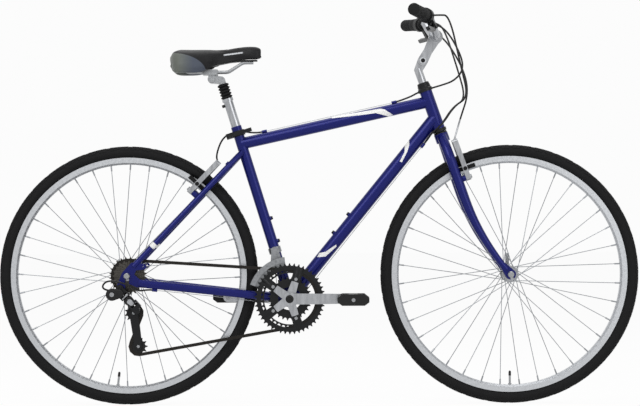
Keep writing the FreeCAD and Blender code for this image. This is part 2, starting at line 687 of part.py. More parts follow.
def spoke(hub_point, rim_point, head_step):
    along = (rim_point - hub_point).normalize()
    head = hub_point + head_step
    return fused([
        cylinder(hub_point, rim_point, s.spoke_radius),
        cylinder(rim_point - along * s.nipple_length, rim_point + along * s.nipple_seat, s.nipple_radius),
        cylinder(hub_point, head, s.spoke_radius),
        Part.makeSphere(s.spoke_radius, hub_point),
        disc(head, Y, s.spoke_head, s.spoke_head_half),
    ])


def rim_cutters(wheel):
    cutters = []
    for hub_point, rim_point, _ in spoke_lines(wheel):
        along = (rim_point - hub_point).normalize()
        cutters.append(cylinder(rim_point - along * s.nipple_seat, rim_point + along * s.nipple_length,
                                s.nipple_radius + s.fit_gap))
    inner = polar(CENTRE[wheel], VALVE[wheel], s.rim_inner - s.nipple_seat)
    outer = polar(CENTRE[wheel], VALVE[wheel], s.rim_outer)
    cutters.append(cylinder(inner, outer, s.valve_radius + s.fit_gap))
    return Part.makeCompound(cutters)


def hub_cutters(wheel):
    cutters = []
    for hub_point, _, head_step in spoke_lines(wheel):
        flange = hub_point + head_step
        cutters.append(cylinder(hub_point, flange, s.spoke_radius + s.fit_gap))
    return Part.makeCompound(cutters)


for wheel in ("front", "rear"):
    name = wheel.capitalize()
    centre = CENTRE[wheel]
    tyre = turned(name + "Tyre", [
        ("-rim_width / 2 + rim_wall + 0.5", "bead_radius"),
        ("-rim_width / 2 + rim_wall + 0.1", "rim_outer + 0.4"),
        ("arc", "-tyre_width * 0.447", "rim_outer + (tyre_radius - rim_outer) * 0.19"),
        ("-tyre_width / 2", "rim_outer + (tyre_radius - rim_outer) * 0.47"),
        ("arc", "-tyre_width * 0.33", "tyre_radius - (tyre_radius - rim_outer) * 0.12"),
        ("0", "tyre_radius"),
        ("arc", "tyre_width * 0.33", "tyre_radius - (tyre_radius - rim_outer) * 0.12"),
        ("tyre_width / 2", "rim_outer + (tyre_radius - rim_outer) * 0.47"),
        ("arc", "tyre_width * 0.447", "rim_outer + (tyre_radius - rim_outer) * 0.19"),
        ("rim_width / 2 - rim_wall - 0.1", "rim_outer + 0.4"),
        ("rim_width / 2 - rim_wall - 0.5", "bead_radius"),
    ], centre, Y)
    valve_top = s.bead_radius - s.fit_gap
    valve = feature(name + "Valve", cylinder(
        polar(centre, VALVE[wheel], valve_top), polar(centre, VALVE[wheel], valve_top - s.valve_length),
        s.valve_radius))
    keep(wheel + "_tyre", compound(name + "TyreValve", [tyre, valve]))
    rim = turned(name + "Rim", [
        ("-rim_width / 2", "rim_outer"), ("-rim_width / 2 + rim_wall", "rim_outer"),
        ("-rim_width / 2 + rim_wall + 0.3", "rim_floor + 2.5"), ("-rim_width / 6", "rim_floor"),
        ("rim_width / 6", "rim_floor"), ("rim_width / 2 - rim_wall - 0.3", "rim_floor + 2.5"),
        ("rim_width / 2 - rim_wall", "rim_outer"), ("rim_width / 2", "rim_outer"),
        ("rim_width / 2", "rim_inner + 5"), ("rim_width * 0.3", "rim_inner"),
        ("-rim_width * 0.3", "rim_inner"), ("-rim_width / 2", "rim_inner + 5"),
    ], centre, Y)
    keep(wheel + "_rim", cut(name + "DrilledRim", rim, feature(name + "RimHoles", rim_cutters(wheel))))
    keep(wheel + "_spokes", feature(name + "Spokes", Part.makeCompound(
        [spoke(*line) for line in spoke_lines(wheel)])))

front_hub = turned("FrontHub", [
    ("-front_spacing / 2 + locknut_width + 1", "hub_bore"),
    ("-front_spacing / 2 + locknut_width + 1", "front_barrel"),
    ("-front_flange_y - flange_thickness / 2", "front_barrel"),
    ("-front_flange_y - flange_thickness / 2", "front_flange_radius"),
    ("-front_flange_y + flange_thickness / 2", "front_flange_radius"),
    ("-front_flange_y + flange_thickness / 2", "front_barrel + 2"),
    ("-front_flange_y + 10", "front_barrel - 1.5"), ("front_flange_y - 10", "front_barrel - 1.5"),
    ("front_flange_y - flange_thickness / 2", "front_barrel + 2"),
    ("front_flange_y - flange_thickness / 2", "front_flange_radius"),
    ("front_flange_y + flange_thickness / 2", "front_flange_radius"),
    ("front_flange_y + flange_thickness / 2", "front_barrel"),
    ("front_spacing / 2 - locknut_width - 1", "front_barrel"),
    ("front_spacing / 2 - locknut_width - 1", "hub_bore"),
], front_axle, Y)
keep("front_hub", cut("FrontDrilledHub", front_hub, feature("FrontHubHoles", hub_cutters("front"))))
rear_hub = turned("RearHub", [
    ("-rear_spacing / 2 + locknut_width + 2", "hub_bore"),
    ("-rear_spacing / 2 + locknut_width + 2", "freewheel_core"),
    ("-rear_flange_right - flange_thickness / 2", "freewheel_core"),
    ("-rear_flange_right - flange_thickness / 2", "rear_flange_radius"),
    ("-rear_flange_right + flange_thickness / 2", "rear_flange_radius"),
    ("-rear_flange_right + flange_thickness / 2", "rear_barrel"),
    ("rear_flange_left - flange_thickness / 2", "rear_barrel"),
    ("rear_flange_left - flange_thickness / 2", "rear_flange_radius"),
    ("rear_flange_left + flange_thickness / 2", "rear_flange_radius"),
    ("rear_flange_left + flange_thickness / 2", "rear_barrel"),
    ("rear_spacing / 2 - locknut_width - 2", "rear_barrel - 3"),
    ("rear_spacing / 2 - locknut_width - 2", "hub_bore"),
], rear_axle, Y)
keep("rear_hub", cut("RearDrilledHub", rear_hub, feature("RearHubHoles", hub_cutters("rear"))))


def axle(name, centre, spacing, plate, radius):
    """An axle with sleeves, locknuts, skewer nut and cam housing in one turned piece."""
    half = f"{spacing} / 2"
    end = f"{half} + {plate} + axle_nut_length"
    outside = f"{half} + {plate} + fit_gap"
    inside = f"{half} - fit_gap"
    sleeve = f"{half} - locknut_width"
    steps = [
        (end, "0"), (end, "axle_nut_radius - 2"), (end + " - 3", "axle_nut_radius"),
        (outside, "axle_nut_radius"), (outside, radius), (inside, radius),
        (inside, "axle_nut_radius - 0.5"), (sleeve, "axle_nut_radius - 0.5"),
        (sleeve, "hub_bore - running_gap"),
    ]
    right = [(f"-({place})", size) for place, size in steps]
    return turned(name, right + steps[::-1], centre, Y)


keep("front_axle", axle("FrontAxle", front_axle, "front_spacing", "tip_thickness", "axle_radius_front"))
keep("rear_axle", axle("RearAxle", rear_axle, "rear_spacing", "dropout_thickness", "axle_radius_rear"))
front_cam_y = s.front_spacing / 2 + s.tip_thickness + s.axle_nut_length + s.lever_gap + s.lever_radius
rear_cam_y = s.rear_spacing / 2 + s.dropout_thickness + s.axle_nut_length + s.lever_gap + s.lever_radius
keep("front_skewer_lever", feature("FrontSkewerLever", cam_lever(
    front_axle + Y * front_cam_y, X, Z, Y, s.lever_length)))
back_up = (Z - X).normalize()
keep("rear_skewer_lever", feature("RearSkewerLever", cam_lever(
    rear_axle + Y * rear_cam_y, (X + Z).normalize(), back_up, Y, s.lever_length)))

# Drive: chain path, sprockets, chainrings and cranks

COGS = (24, 21, 19, 17, 15, 13, 12)
cog_y = -(s.cog_first_y + s.cog_pitch * s.chain_cog)
cage_pivot = rear_axle + Vector(s.pivot_x, 0, -s.pivot_z)


def pitch_radius(teeth):
    return s.chain_pitch / (2 * math.sin(math.pi / teeth))


def about_pivot(x, z, turn):
    """A point of the derailleur cage, turned about the cage pivot."""
    return cage_pivot + Rotation(Y, -turn).multVec(Vector(x, 0, z))


def tangent(first, second):
    """Where the chain leaves one wheel and meets the next; spin is 1 for a left turn."""
    (centre, radius, spin), (other, other_radius, other_spin) = first, second
    apart = other - centre
    lean = math.asin((other_spin * other_radius - spin * radius) / apart.Length)
    angle = math.atan2(apart.z, apart.x) - lean
    left = Vector(-math.sin(angle), 0, math.cos(angle))
    return centre - left * (spin * radius), other - left * (other_spin * other_radius)


def chain_path(turn):
    """The chain's arcs and runs, each with its length in links."""
    teeth = (s.ring_middle, s.jockey_teeth, s.jockey_teeth, COGS[int(s.chain_cog)])
    centres = (bb, about_pivot(s.tension_x, s.tension_z, turn),
               about_pivot(s.guide_x, s.guide_z, turn), rear_axle)
    spins = (-1, -1, 1, -1)
    planes = (-s.ring_middle_y, cog_y, cog_y, cog_y)
    wheels = [(centre, pitch_radius(count), spin) for centre, count, spin in zip(centres, teeth, spins)]
    runs = [tangent(wheels[index], wheels[(index + 1) % 4]) for index in range(4)]
    path = []
    for index, (centre, radius, spin) in enumerate(wheels):
        arrive, leave = runs[index - 1][1] - centre, runs[index][0] - centre
        start = math.atan2(arrive.z, arrive.x)
        sweep = ((math.atan2(leave.z, leave.x) - start) * spin) % (2 * math.pi)
        path.append(("arc", sweep * teeth[index] / (2 * math.pi), centre, radius, start, spin * sweep,
                     planes[index]))
        begin, end = runs[index][0] + Y * planes[index], runs[index][1] + Y * planes[(index + 1) % 4]
        path.append(("run", (end - begin).Length / s.chain_pitch, begin, end))
    return path


def chain_count(turn):
    return sum(piece[1] for piece in chain_path(turn))


low_turn, high_turn = -s.cage_search, s.cage_search
for _ in range(50):
    cage_turn = (low_turn + high_turn) / 2
    if (chain_count(cage_turn) > s.chain_links) == (chain_count(high_turn) > chain_count(low_turn)):
        high_turn = cage_turn
    else:
        low_turn = cage_turn
path = chain_path(cage_turn)


def roller(number):
    """The centre of a chain roller, and its angle where it lies on a wheel."""
    for piece in path:
        if number <= piece[1]:
            share = number / piece[1]
            if piece[0] == "run":
                return piece[2] + (piece[3] - piece[2]) * share, None
            _, _, centre, radius, start, sweep, plane = piece
            angle = start + sweep * share
            return polar(centre, math.degrees(angle), radius) + Y * plane, angle
        number -= piece[1]
    return roller(0)


def wheel_phase(index):
    """The angle of one roller on a wheel of the chain path."""
    before = sum(piece[1] for piece in path[:2 * index])
    return roller(math.ceil(before))[1]


def toothed(teeth, centre, phase, thickness, opening):
    """A sprocket plate in the side plane."""
    radius = pitch_radius(teeth)
    edges = []
    tip_radius = radius + s.tooth_height
    first = None
    last = None
    side = s.seat_radius * math.sin(math.pi / 3)
    deep = s.seat_radius * math.cos(math.pi / 3)
    for index in range(int(teeth)):
        angle = phase + 2 * math.pi * index / teeth
        out = Vector(math.cos(angle), 0, math.sin(angle))
        across = Vector(-math.sin(angle), 0, math.cos(angle))
        seat = centre + out * radius
        start = seat - out * deep - across * side
        end = seat - out * deep + across * side
        tooth = angle + math.pi / teeth
        tooth_out = Vector(math.cos(tooth), 0, math.sin(tooth))
        tooth_across = Vector(-math.sin(tooth), 0, math.cos(tooth))
        tip = centre + tooth_out * tip_radius
        tip_start, tip_end = tip - tooth_across * s.tooth_tip, tip + tooth_across * s.tooth_tip
        if last is None:
            first = start
        else:
            edges.append(Part.LineSegment(last, start))
        edges.append(Part.Arc(start, seat - out * s.seat_radius, end))
        edges.append(Part.LineSegment(end, tip_start))
        edges.append(Part.LineSegment(tip_start, tip_end))
        last = tip_end
    edges.append(Part.LineSegment(last, first))
    face = Part.Face(Part.Wire([edge.toShape() for edge in edges]))
    plate = face.extrude(Y * thickness)
    plate.translate(Y * (-thickness / 2))
    return plate.cut(disc(centre, Y, opening, thickness))


def chain_plate(low):
    """A side plate that spans one pitch, from a given depth."""
    near, far = Y * low, X * s.chain_pitch + Y * low
    return capsule(near, s.plate_radius, far, s.plate_radius, Y, s.plate_thickness)


def inner_link():
    far = X * s.chain_pitch
    top = s.chain_inner + s.plate_thickness
    shapes = []
    for start in (s.chain_inner, -top):
        shapes.append(chain_plate(start))
    shapes += [disc(place, Y, s.roller_radius, s.chain_inner) for place in (Vector(), far)]
    body = fused(shapes)
    for place in (Vector(), far):
        body = body.cut(disc(place, Y, s.pin_radius + s.running_gap, top * 2))
    return body


def outer_link():
    far = X * s.chain_pitch
    low = s.chain_inner + s.plate_thickness + s.plate_gap
    shapes = []
    for start in (low, -low - s.plate_thickness):
        shapes.append(chain_plate(start))
    shapes += [disc(place, Y, s.pin_radius, s.pin_reach) for place in (Vector(), far)]
    return fused(shapes)


templates = (inner_link(), outer_link())
links = []
for number in range(int(s.chain_links)):
    here, there = roller(number)[0], roller((number + 1) % s.chain_links)[0]
    link = templates[number % 2].copy()
    link.Placement = Placement(here, frame_rotation(there - here, Y))
    links.append(link)
keep("chain", feature("Chain", Part.makeCompound(links)))

cogs = []
for index, teeth in enumerate(COGS):
    plane = rear_axle - Y * (s.cog_first_y + s.cog_pitch * index)
    phase = wheel_phase(3) if index == s.chain_cog else 0
    cogs.append(toothed(teeth, plane, phase, s.cog_thickness, s.freewheel_core + s.running_gap))
cog_inner = s.cog_first_y - s.cog_thickness
cog_outer = s.cog_first_y + s.cog_pitch * (len(COGS) - 1) + s.cog_thickness
sleeve = cylinder(rear_axle - Y * cog_inner, rear_axle - Y * cog_outer, s.freewheel_core + s.sleeve_wall)
sleeve = sleeve.cut(disc(rear_axle, Y, s.freewheel_core + s.running_gap, s.rear_spacing))
keep("sprockets", feature("Sprockets", fused([sleeve] + cogs)))

rings = [
    toothed(s.ring_big, bb - Y * s.ring_big_y, 0, s.cog_thickness, s.ring_big_hole),
    toothed(s.ring_middle, bb - Y * s.ring_middle_y, wheel_phase(0), s.cog_thickness, s.ring_middle_hole),
    toothed(s.ring_small, bb - Y * s.ring_small_y, 0, s.cog_thickness, s.ring_small_hole),
]
keep("chainrings", feature("Chainrings", Part.makeCompound(rings)))


def crank(side):
    """A crank arm; the right one points forward and carries the spider."""
    away = Y * side
    eye = bb + X * (-side * s.crank_length)
    inner = away * s.crank_inner
    shapes = [
        cylinder(bb + away * s.crank_hub_inner, bb + inner + away * (s.crank_thickness + 1), s.crank_hub),
        capsule(bb + inner, s.crank_root, eye + inner, s.crank_eye, away, s.crank_thickness),
    ]
    if side < 0:
        for index in range(5):
            tab = polar(bb, 72 * index, s.spider_reach)
            low = away * s.spider_inner
            depth = s.spider_outer - s.spider_inner
            shapes.append(capsule(bb + low, s.crank_hub * 0.7, tab + low, s.spider_tab, away, depth))
            root = polar(bb, 72 * index, s.small_bolt_circle)
            seat = s.ring_small_y + s.cog_thickness / 2 + s.fit_gap
            shapes.append(cylinder(root + away * seat, root + away * s.spider_outer, s.small_boss))
    arm = fused(shapes)
    bore = cylinder(bb, bb + away * (s.spindle_half + s.fit_gap), s.spindle_radius + s.fit_gap)
    return arm.cut(bore).cut(disc(eye, Y, s.pedal_thread + s.fit_gap, s.crank_inner * 2))


keep("crank_arms", feature("CrankArms", Part.makeCompound([crank(side) for side in SIDES])))
crank_outer = s.crank_inner + s.crank_thickness
axles = [disc(bb, Y, s.spindle_radius, s.spindle_half)]
for side in SIDES:
    eye = bb + X * (-side * s.crank_length)
    away = Y * side
    root = eye + away * s.crank_inner
    axles.append(fused([
        cylinder(root, eye + away * (crank_outer + s.pedal_gap - s.lever_gap), s.pedal_thread),
        cylinder(root, eye + away * (crank_outer + s.pedal_axle_length), s.pedal_axle_radius),
    ]))
keep("crank_axles", feature("CrankAxles", Part.makeCompound(axles)))


def pedal(name, side):
    """A platform pedal with two windows."""
    middle = bb + Vector(-side * s.crank_length, side * (crank_outer + s.pedal_gap + s.pedal_width / 2), 0)
    x, y = "pedal_length / 2", "pedal_height / 2"
    body = padded(name, [
        (f"-{x}", "-pedal_height / 5"), (f"-{x} + pedal_edge", f"-{y}"), (f"{x} - pedal_edge", f"-{y}"),
        (x, "-pedal_height / 5"), (x, "pedal_height / 5"), (f"{x} - pedal_edge", y),
        (f"-{x} + pedal_edge", y), (f"-{x}", "pedal_height / 5"),
    ], "pedal_width", Placement(middle, Rotation(X, Z, Y * -1, "XYZ")), [
        ("0", "0", "pedal_axle_radius + running_gap"),
    ])
    window = []
    for sign in ("", "-"):
        low, high = f"{sign}(pedal_rib / 2 + 3)", f"{sign}(pedal_length / 2 - pedal_edge / 2 - 2)"
        far = "pedal_width / 2 - 10"
        window.append([(low, f"-({far})"), (high, f"-({far})"), (high, far), (low, far)])
    pocketed(body, "XZ_Plane", name + "Windows", window)
    return body


keep("left_pedal", pedal("LeftPedal", 1))
keep("right_pedal", pedal("RightPedal", -1))

# Rear derailleur

link_axis = Vector(s.link_lean_x, 0, s.link_lean_z).normalize()
link_side = Y.cross(link_axis)
base_pins = hanger + Vector(s.knuckle_x, -s.knuckle_y, s.knuckle_z)
arm_pins = base_pins + link_side * s.link_reach + Y * s.link_inward
link_axes = (link_side, Y, link_axis)
cheek_low = s.link_half + s.cheek_gap
cheek_high = cheek_low + s.cheek
pin_offsets = {"outer": Y * (-s.link_spacing / 2), "inner": Y * (s.link_spacing / 2)}


def knuckle(pins, towards):
    """Two cheeks that hold the link pins, and the block that joins them."""
    reach = s.link_spacing / 2 + s.link_barrel
    inner, outer = s.link_barrel + s.cheek, s.link_barrel * 2 + s.cheek * 3
    ends = sorted((towards * inner, towards * outer))
    shapes = [block(pins, link_axes, (ends[0], -reach, -cheek_high), (ends[1], reach, cheek_high))]
    span = sorted((-towards * s.link_barrel, towards * inner))
    for low, high in ((cheek_low, cheek_high), (-cheek_high, -cheek_low)):
        shapes.append(block(pins, link_axes, (span[0], -reach, low), (span[1], reach, high)))
    for offset in pin_offsets.values():
        shapes.append(disc(pins + offset, link_axis, s.link_pin, cheek_high))
    return shapes


def swing_link(offset):
    start, end = base_pins + offset, arm_pins + offset
    along = (end - start).normalize()
    across = along.cross(link_axis)
    web = block(start, (along, across, link_axis), (0, -s.link_plate / 2, -s.link_half),
                ((end - start).Length, s.link_plate / 2, s.link_half))
    barrels = [disc(point, link_axis, s.link_barrel, s.link_half) for point in (start, end)]
    bore = [disc(point, link_axis, s.link_pin + s.running_gap, cheek_high) for point in (start, end)]
    return fused([web] + barrels).cut(bore[0]).cut(bore[1])


hanger_face = s.rear_spacing / 2 + s.dropout_thickness + s.fit_gap
hanger_outer = s.knuckle_y + s.link_spacing / 2 + s.link_barrel
keep("rear_derailleur_knuckle", feature("DerailleurKnuckle", fused(knuckle(base_pins, -1) + [
    cylinder(hanger - Y * hanger_face, hanger - Y * hanger_outer, s.hanger_radius - 1),
    cylinder(hanger - Y * (s.rear_spacing / 2), hanger - Y * hanger_outer, s.hanger_bore - s.fit_gap),
])))
keep("rear_derailleur_outer_link", feature("DerailleurOuterLink", swing_link(pin_offsets["outer"])))
keep("rear_derailleur_inner_link", feature("DerailleurInnerLink", swing_link(pin_offsets["inner"])))
cage_out = cog_y - s.cage_half
cage_in = cog_y + s.cage_half
barrel_y = cage_out - s.cage_plate - s.lever_gap
keep("rear_derailleur_arm", feature("DerailleurArm", fused(knuckle(arm_pins, 1) + [
    cylinder(cage_pivot + Y * barrel_y, cage_pivot + Y * (arm_pins.y - s.link_spacing / 2 - s.link_barrel),
             s.hanger_radius - 1),
])))
guide = about_pivot(s.guide_x, s.guide_z, cage_turn)
tension = about_pivot(s.tension_x, s.tension_z, cage_turn)
cage_plates = []
for low in (cage_out - s.cage_plate, cage_in):
    step = Y * low
    cage_plates.append(capsule(guide + step, s.cage_radius, tension + step, s.cage_tip_radius,
                               Y, s.cage_plate))
cage_plates.append(capsule(guide + Y * (cage_out - s.cage_plate), s.cage_radius,
                           cage_pivot + Y * (cage_out - s.cage_plate), s.cage_radius - 1, Y, s.cage_plate))
for point in (guide, tension):
    cage_plates.append(cylinder(point + Y * (cage_out - s.cage_plate), point + Y * (cage_in + s.cage_plate),
                                s.jockey_bolt))
keep("rear_derailleur_cage", feature("DerailleurCage", fused(cage_plates)))


def jockey(centre, index):
    middle = centre + Y * cog_y
    bore = s.jockey_bolt + s.running_gap
    plate = toothed(s.jockey_teeth, middle, wheel_phase(index), s.cog_thickness, bore)
    hub = disc(middle, Y, s.jockey_boss, s.jockey_half).cut(disc(middle, Y, bore, s.jockey_half * 2))
    return fused([plate, hub])


keep("upper_jockey_wheel", feature("UpperJockey", jockey(guide, 2)))
keep("lower_jockey_wheel", feature("LowerJockey", jockey(tension, 1)))

# Front derailleur


def sector(inner, outer, start, end, low_y, high_y):
    """A curved plate about the bottom bracket."""
    middle = (start + end) / 2
    edges = [
        Part.Arc(polar(bb, start, outer), polar(bb, middle, outer), polar(bb, end, outer)),
        Part.LineSegment(polar(bb, end, outer), polar(bb, end, inner)),
        Part.Arc(polar(bb, end, inner), polar(bb, middle, inner), polar(bb, start, inner)),
        Part.LineSegment(polar(bb, start, inner), polar(bb, start, outer)),
    ]
    face = Part.Face(Part.Wire([edge.toShape() for edge in edges]))
    face.translate(Y * low_y)
    return face.extrude(Y * (high_y - low_y))


in_far, out_far = -s.changer_in_y - s.changer_plate, -s.changer_out_y - s.changer_plate
bridge = s.changer_bridge
guides = [polar(bb, angle, s.guide_circle) for angle in (s.guide_high_angle, s.guide_low_angle)]
keep("front_derailleur_cage", feature("ChangerCage", fused([
    sector(s.changer_inner, s.changer_outer, s.changer_start, s.changer_end, in_far, -s.changer_in_y),
    sector(s.changer_low, s.changer_outer, s.changer_start, s.changer_end, out_far, -s.changer_out_y),
    sector(s.changer_outer - bridge, s.changer_outer, s.changer_start, s.changer_start + bridge,
           out_far, -s.changer_in_y),
    sector(s.changer_low, s.changer_outer - bridge, s.changer_end - bridge, s.changer_end,
           out_far, -s.changer_in_y),
] + [cylinder(point + Y * in_far, point + Y * (s.guide_rod_length - s.changer_in_y), s.guide_rod)
     for point in guides])))
clamp_middle = post(s.changer_level)
ring_outer = s.seat_tube_diameter / 2 + s.cheek
block_inner = s.seat_tube_diameter / 2 + s.changer_plate
block_outer = s.changer_in_y - s.changer_travel
guide_middle = (guides[0] + guides[1]) / 2
changer = fused([
    disc(clamp_middle, seat_up, ring_outer, s.changer_height / 2),
    capsule(clamp_middle - Y * block_outer, s.changer_height * 0.6, guide_middle - Y * block_outer,
            s.changer_height, Y, block_outer - block_inner),
])
tube_fit = s.seat_tube_diameter / 2 + s.fit_gap
changer = changer.cut(disc(clamp_middle, seat_up, tube_fit, s.seat_tube_length / 6))
for point in guides:
    changer = changer.cut(cylinder(point - Y * s.changer_in_y, point, s.guide_rod + s.fit_gap))
keep("front_derailleur_body", feature("ChangerBody", changer))

# Brakes


def brake_arm(name, place, level, up, out):
    """The left arm of a linear-pull brake, drawn from its pivot."""
    lean, length = "brake_arm_lean", "brake_arm_length"
    middle = place(level, brake_mid, s.brake_pivot_y)
    body = padded(name, [
        ("brake_arm_root", "0"), (f"brake_arm_tip - {lean}", length),
        ("arc", f"-{lean}", f"{length} + brake_arm_tip"), (f"-brake_arm_tip - {lean}", length),
        ("-brake_arm_root", "0"), ("arc", "0", "-brake_arm_root"),
    ], "brake_arm_depth", Placement(middle, Rotation(Y, up, Y.cross(up), "XYZ")), [
        ("0", "0", "brake_stud + fit_gap"),
    ])
    post_hole = sketched(body, "YZ_Plane", name + "PostProfile")
    hole(post_hole, "pad_level", "0", "pad_post + fit_gap")
    pocket = body.newObject("PartDesign::Pocket", name + "PostHole")
    pocket.Profile = post_hole
    pocket.SideType = "Symmetric"
    pocket.Type = "ThroughAll"
    return body


def brake_pad(place, level, up, out):
    """The left pad with its holder, post, spacer and nut."""
    axes = (Y, up, out)
    middle = place(level + s.pad_level, brake_mid, 0)
    face = s.rim_width / 2 + s.pad_gap
    back = face + s.pad_thickness
    holder = back + s.pad_holder
    tall, wide = s.pad_height / 2, s.pad_length / 2
    inner = s.brake_pivot_y - s.brake_arm_root - s.brake_arm_lean * 0.3
    outer = s.brake_pivot_y + s.brake_arm_root - s.brake_arm_lean * 0.2
    return fused([
        block(middle, axes, (face, -tall, -wide), (back, tall, wide)),
        block(middle, axes, (back, -tall + 1, -wide * 0.8), (holder, tall - 1, wide * 0.8)),
        cylinder(middle + Y * back, middle + Y * (outer + 5), s.pad_post),
        cylinder(middle + Y * holder, middle + Y * inner, s.pad_post * 2),
        cylinder(middle + Y * outer, middle + Y * (outer + 5), s.pad_post * 1.8),
    ])


for end, place, level, up, out in (("front", steer, front_pivot, steer_up, steer_forward),
                                   ("rear", stay, rear_pivot, stay_up, stay_back)):
    name = end.capitalize()
    arm = brake_arm(name + "BrakeArm", place, level, up, out)
    keep(end + "_brake_arm_left", arm)
    keep(end + "_brake_arm_right", mirrored(name + "BrakeArmRight", arm))
    pad = feature(name + "BrakePad", brake_pad(place, level, up, out))
    keep(end + "_brake_pad_left", pad)
    keep(end + "_brake_pad_right", mirrored(name + "BrakePadRight", pad))

# Fork and headset races


def blade_point(level, side):
    """The centre of a fork blade: spread below the crown, swept forward below the bend."""
    forward = 0
    if level < s.blade_bend:
        forward = s.fork_offset * ((s.blade_bend - level) / s.blade_bend) ** 2
    tip_y = (s.front_spacing + s.tip_thickness) / 2
    if level > s.blade_spread_level:
        share = (level - s.blade_spread_level) / (s.blade_root - s.blade_spread_level)
        y = s.blade_spread - (s.blade_spread - s.blade_root_y) * share ** 2
    else:
        y = tip_y + (s.blade_spread - tip_y) * (level - s.blade_end) / (s.blade_spread_level - s.blade_end)
    return steer(level, forward, side * y)


def blade(side):
    count = 12
    levels = [s.blade_root + (s.blade_end - s.blade_root) * index / (count - 1) for index in range(count)]
    narrow = s.blade_top_diameter - s.blade_tip_diameter
    radii = []
    for level in levels:
        share = min(max((s.blade_bend - level) / (s.blade_bend - s.blade_end), 0), 1)
        radii.append((s.blade_top_diameter - narrow * share) / 2)
    return tapered([blade_point(level, side) for level in levels], radii)


def fork_tip(side):
    y = side * s.front_spacing / 2
    root = blade_point(s.blade_end * 2, 0)
    return capsule(front_axle + Y * y, s.tip_radius, root + Y * y, s.blade_tip_diameter / 2,
                   Y * side, s.tip_thickness)


fork_shapes = [
    cylinder(steer(s.crown_low), steer(s.crown_top), s.crown_radius),
    cylinder(steer(s.crown_low), steer(s.steerer_top), s.steerer_diameter / 2),
]
for side in SIDES:
    fork_shapes += [blade(side), fork_tip(side)]
    fork_shapes += brake_stud(steer, front_pivot, side)
fork = fused(fork_shapes)
fork = fork.cut(cylinder(steer(s.crown_low - s.crown_radius), steer(s.steerer_top + 1), s.steerer_bore / 2))
for cutter in slot(front_axle, steer_up * -1, s.axle_radius_front, s.front_spacing):
    fork = fork.cut(cutter)
keep("fork", feature("Fork", fork))
race_level = s.head_tube_low + s.head_tube_length + s.upper_cup_height + s.lever_gap
keep("headset_races", compound("HeadsetRaces", [
    turned("Locknut", [
        ("0", "steerer_diameter / 2 + fit_gap"), ("0", "locknut_radius"), ("6", "locknut_radius"),
        ("6.4", "locknut_radius - 1"), ("11", "locknut_radius - 1"),
        ("locknut_height", "locknut_radius - 3"), ("locknut_height", "quill_radius + steerer_gap"),
        ("5", "quill_radius + steerer_gap"), ("5", "steerer_diameter / 2 + fit_gap"),
    ], steer(race_level), steer_up),
    turned("CrownRace", [
        ("0", "steerer_diameter / 2 + fit_gap"), ("0", "crown_radius - 1"), ("3", "crown_radius - 1"),
        ("crown_race_height", "crown_radius - 3"), ("crown_race_height", "steerer_diameter / 2 + fit_gap"),
    ], steer(s.crown_top + s.fit_gap), steer_up),
]))

# Stem and handlebar

stem_pivot = steer(s.stem_pivot_t, s.stem_pivot_n)
stem_along = Vector(math.cos(math.radians(s.stem_angle)), 0, math.sin(math.radians(s.stem_angle)))
bar_centre = stem_pivot + stem_along * s.stem_length
tongue = s.tongue_half
head_gap = s.cheek_half + s.lever_gap
keep("stem_quill", feature("Quill", fused([
    cylinder(steer(s.quill_low), steer(s.quill_top), s.quill_radius),
    capsule(steer(s.quill_top - 4, 0, -tongue), s.quill_radius, stem_pivot - Y * tongue, s.tongue_radius,
            Y, 2 * tongue),
    disc(stem_pivot, Y, s.stem_bolt, head_gap + 3),
    cylinder(stem_pivot + Y * head_gap, stem_pivot + Y * (head_gap + 3), s.stem_bolt_head),
    cylinder(stem_pivot - Y * head_gap, stem_pivot - Y * (head_gap + 3), s.stem_bolt_head),
])))
cheek_in = tongue + s.lever_gap
stem_root = stem_pivot + stem_along * (2 * s.tongue_radius)
stem_shapes = [
    capsule(stem_root - Y * s.cheek_half, s.tongue_radius - 2, bar_centre - Y * s.cheek_half,
            s.bar_clamp_radius - 2, Y, 2 * s.cheek_half),
    disc(bar_centre, Y, s.bar_clamp_radius, s.bar_clamp_half),
]
for low in (cheek_in, -s.cheek_half):
    stem_shapes.append(capsule(stem_pivot + Y * low, s.tongue_radius, stem_root + Y * low,
                               s.tongue_radius - 2, Y, s.cheek_half - cheek_in))
stem = fused(stem_shapes)
stem = stem.cut(disc(bar_centre, Y, s.bar_bulge + s.fit_gap, s.bar_bulge_half))
stem = stem.cut(disc(stem_pivot, Y, s.stem_bolt + s.fit_gap, s.bar_bulge_half))
keep("stem_extension", feature("StemExtension", stem))


def bar_points(side):
    """The handlebar's corners on one side, from the clamp outward."""
    return [
        bar_centre + Y * (side * s.bar_first_y),
        bar_centre + Vector(-s.bar_rise_back, side * s.bar_rise_y, s.bar_rise),
        bar_centre + Vector(-s.bar_end_back, side * s.bar_end_y, s.bar_end_rise),
    ]


keep("handlebar", feature("Handlebar", fused([
    pipe(bar_points(1)[::-1] + bar_points(-1), s.bar_radius, s.bar_bend),
    disc(bar_centre, Y, s.bar_bulge, s.bar_bulge_half),
])))


def grip_frame(side):
    """The bar end, the way inward along the bar, the way out to the lever, and the lever's hinge."""
    _, corner, end = bar_points(side)
    inward = (corner - end).normalize()
    angle = math.radians(s.lever_drop_angle)
    out = Vector(math.cos(angle), 0, -math.sin(angle))
    out = (out - inward * out.dot(inward)).normalize()
    return end, inward, out, inward.cross(out)


twist_start = s.grip_length + s.grip_step
shifter_start = twist_start + s.twist_length + s.grip_step
bracket_start = shifter_start + s.shifter_length
bracket_end = bracket_start + s.bracket_length
lever_station = bracket_start + s.bracket_length / 2


def lever_point(side, station, out):
    end, inward, away, _ = grip_frame(side)
    return end + inward * station + away * out


def barrel_way(side):
    _, inward, out, _ = grip_frame(side)
    return (inward + out * 0.35 + X * 0.6).normalize()


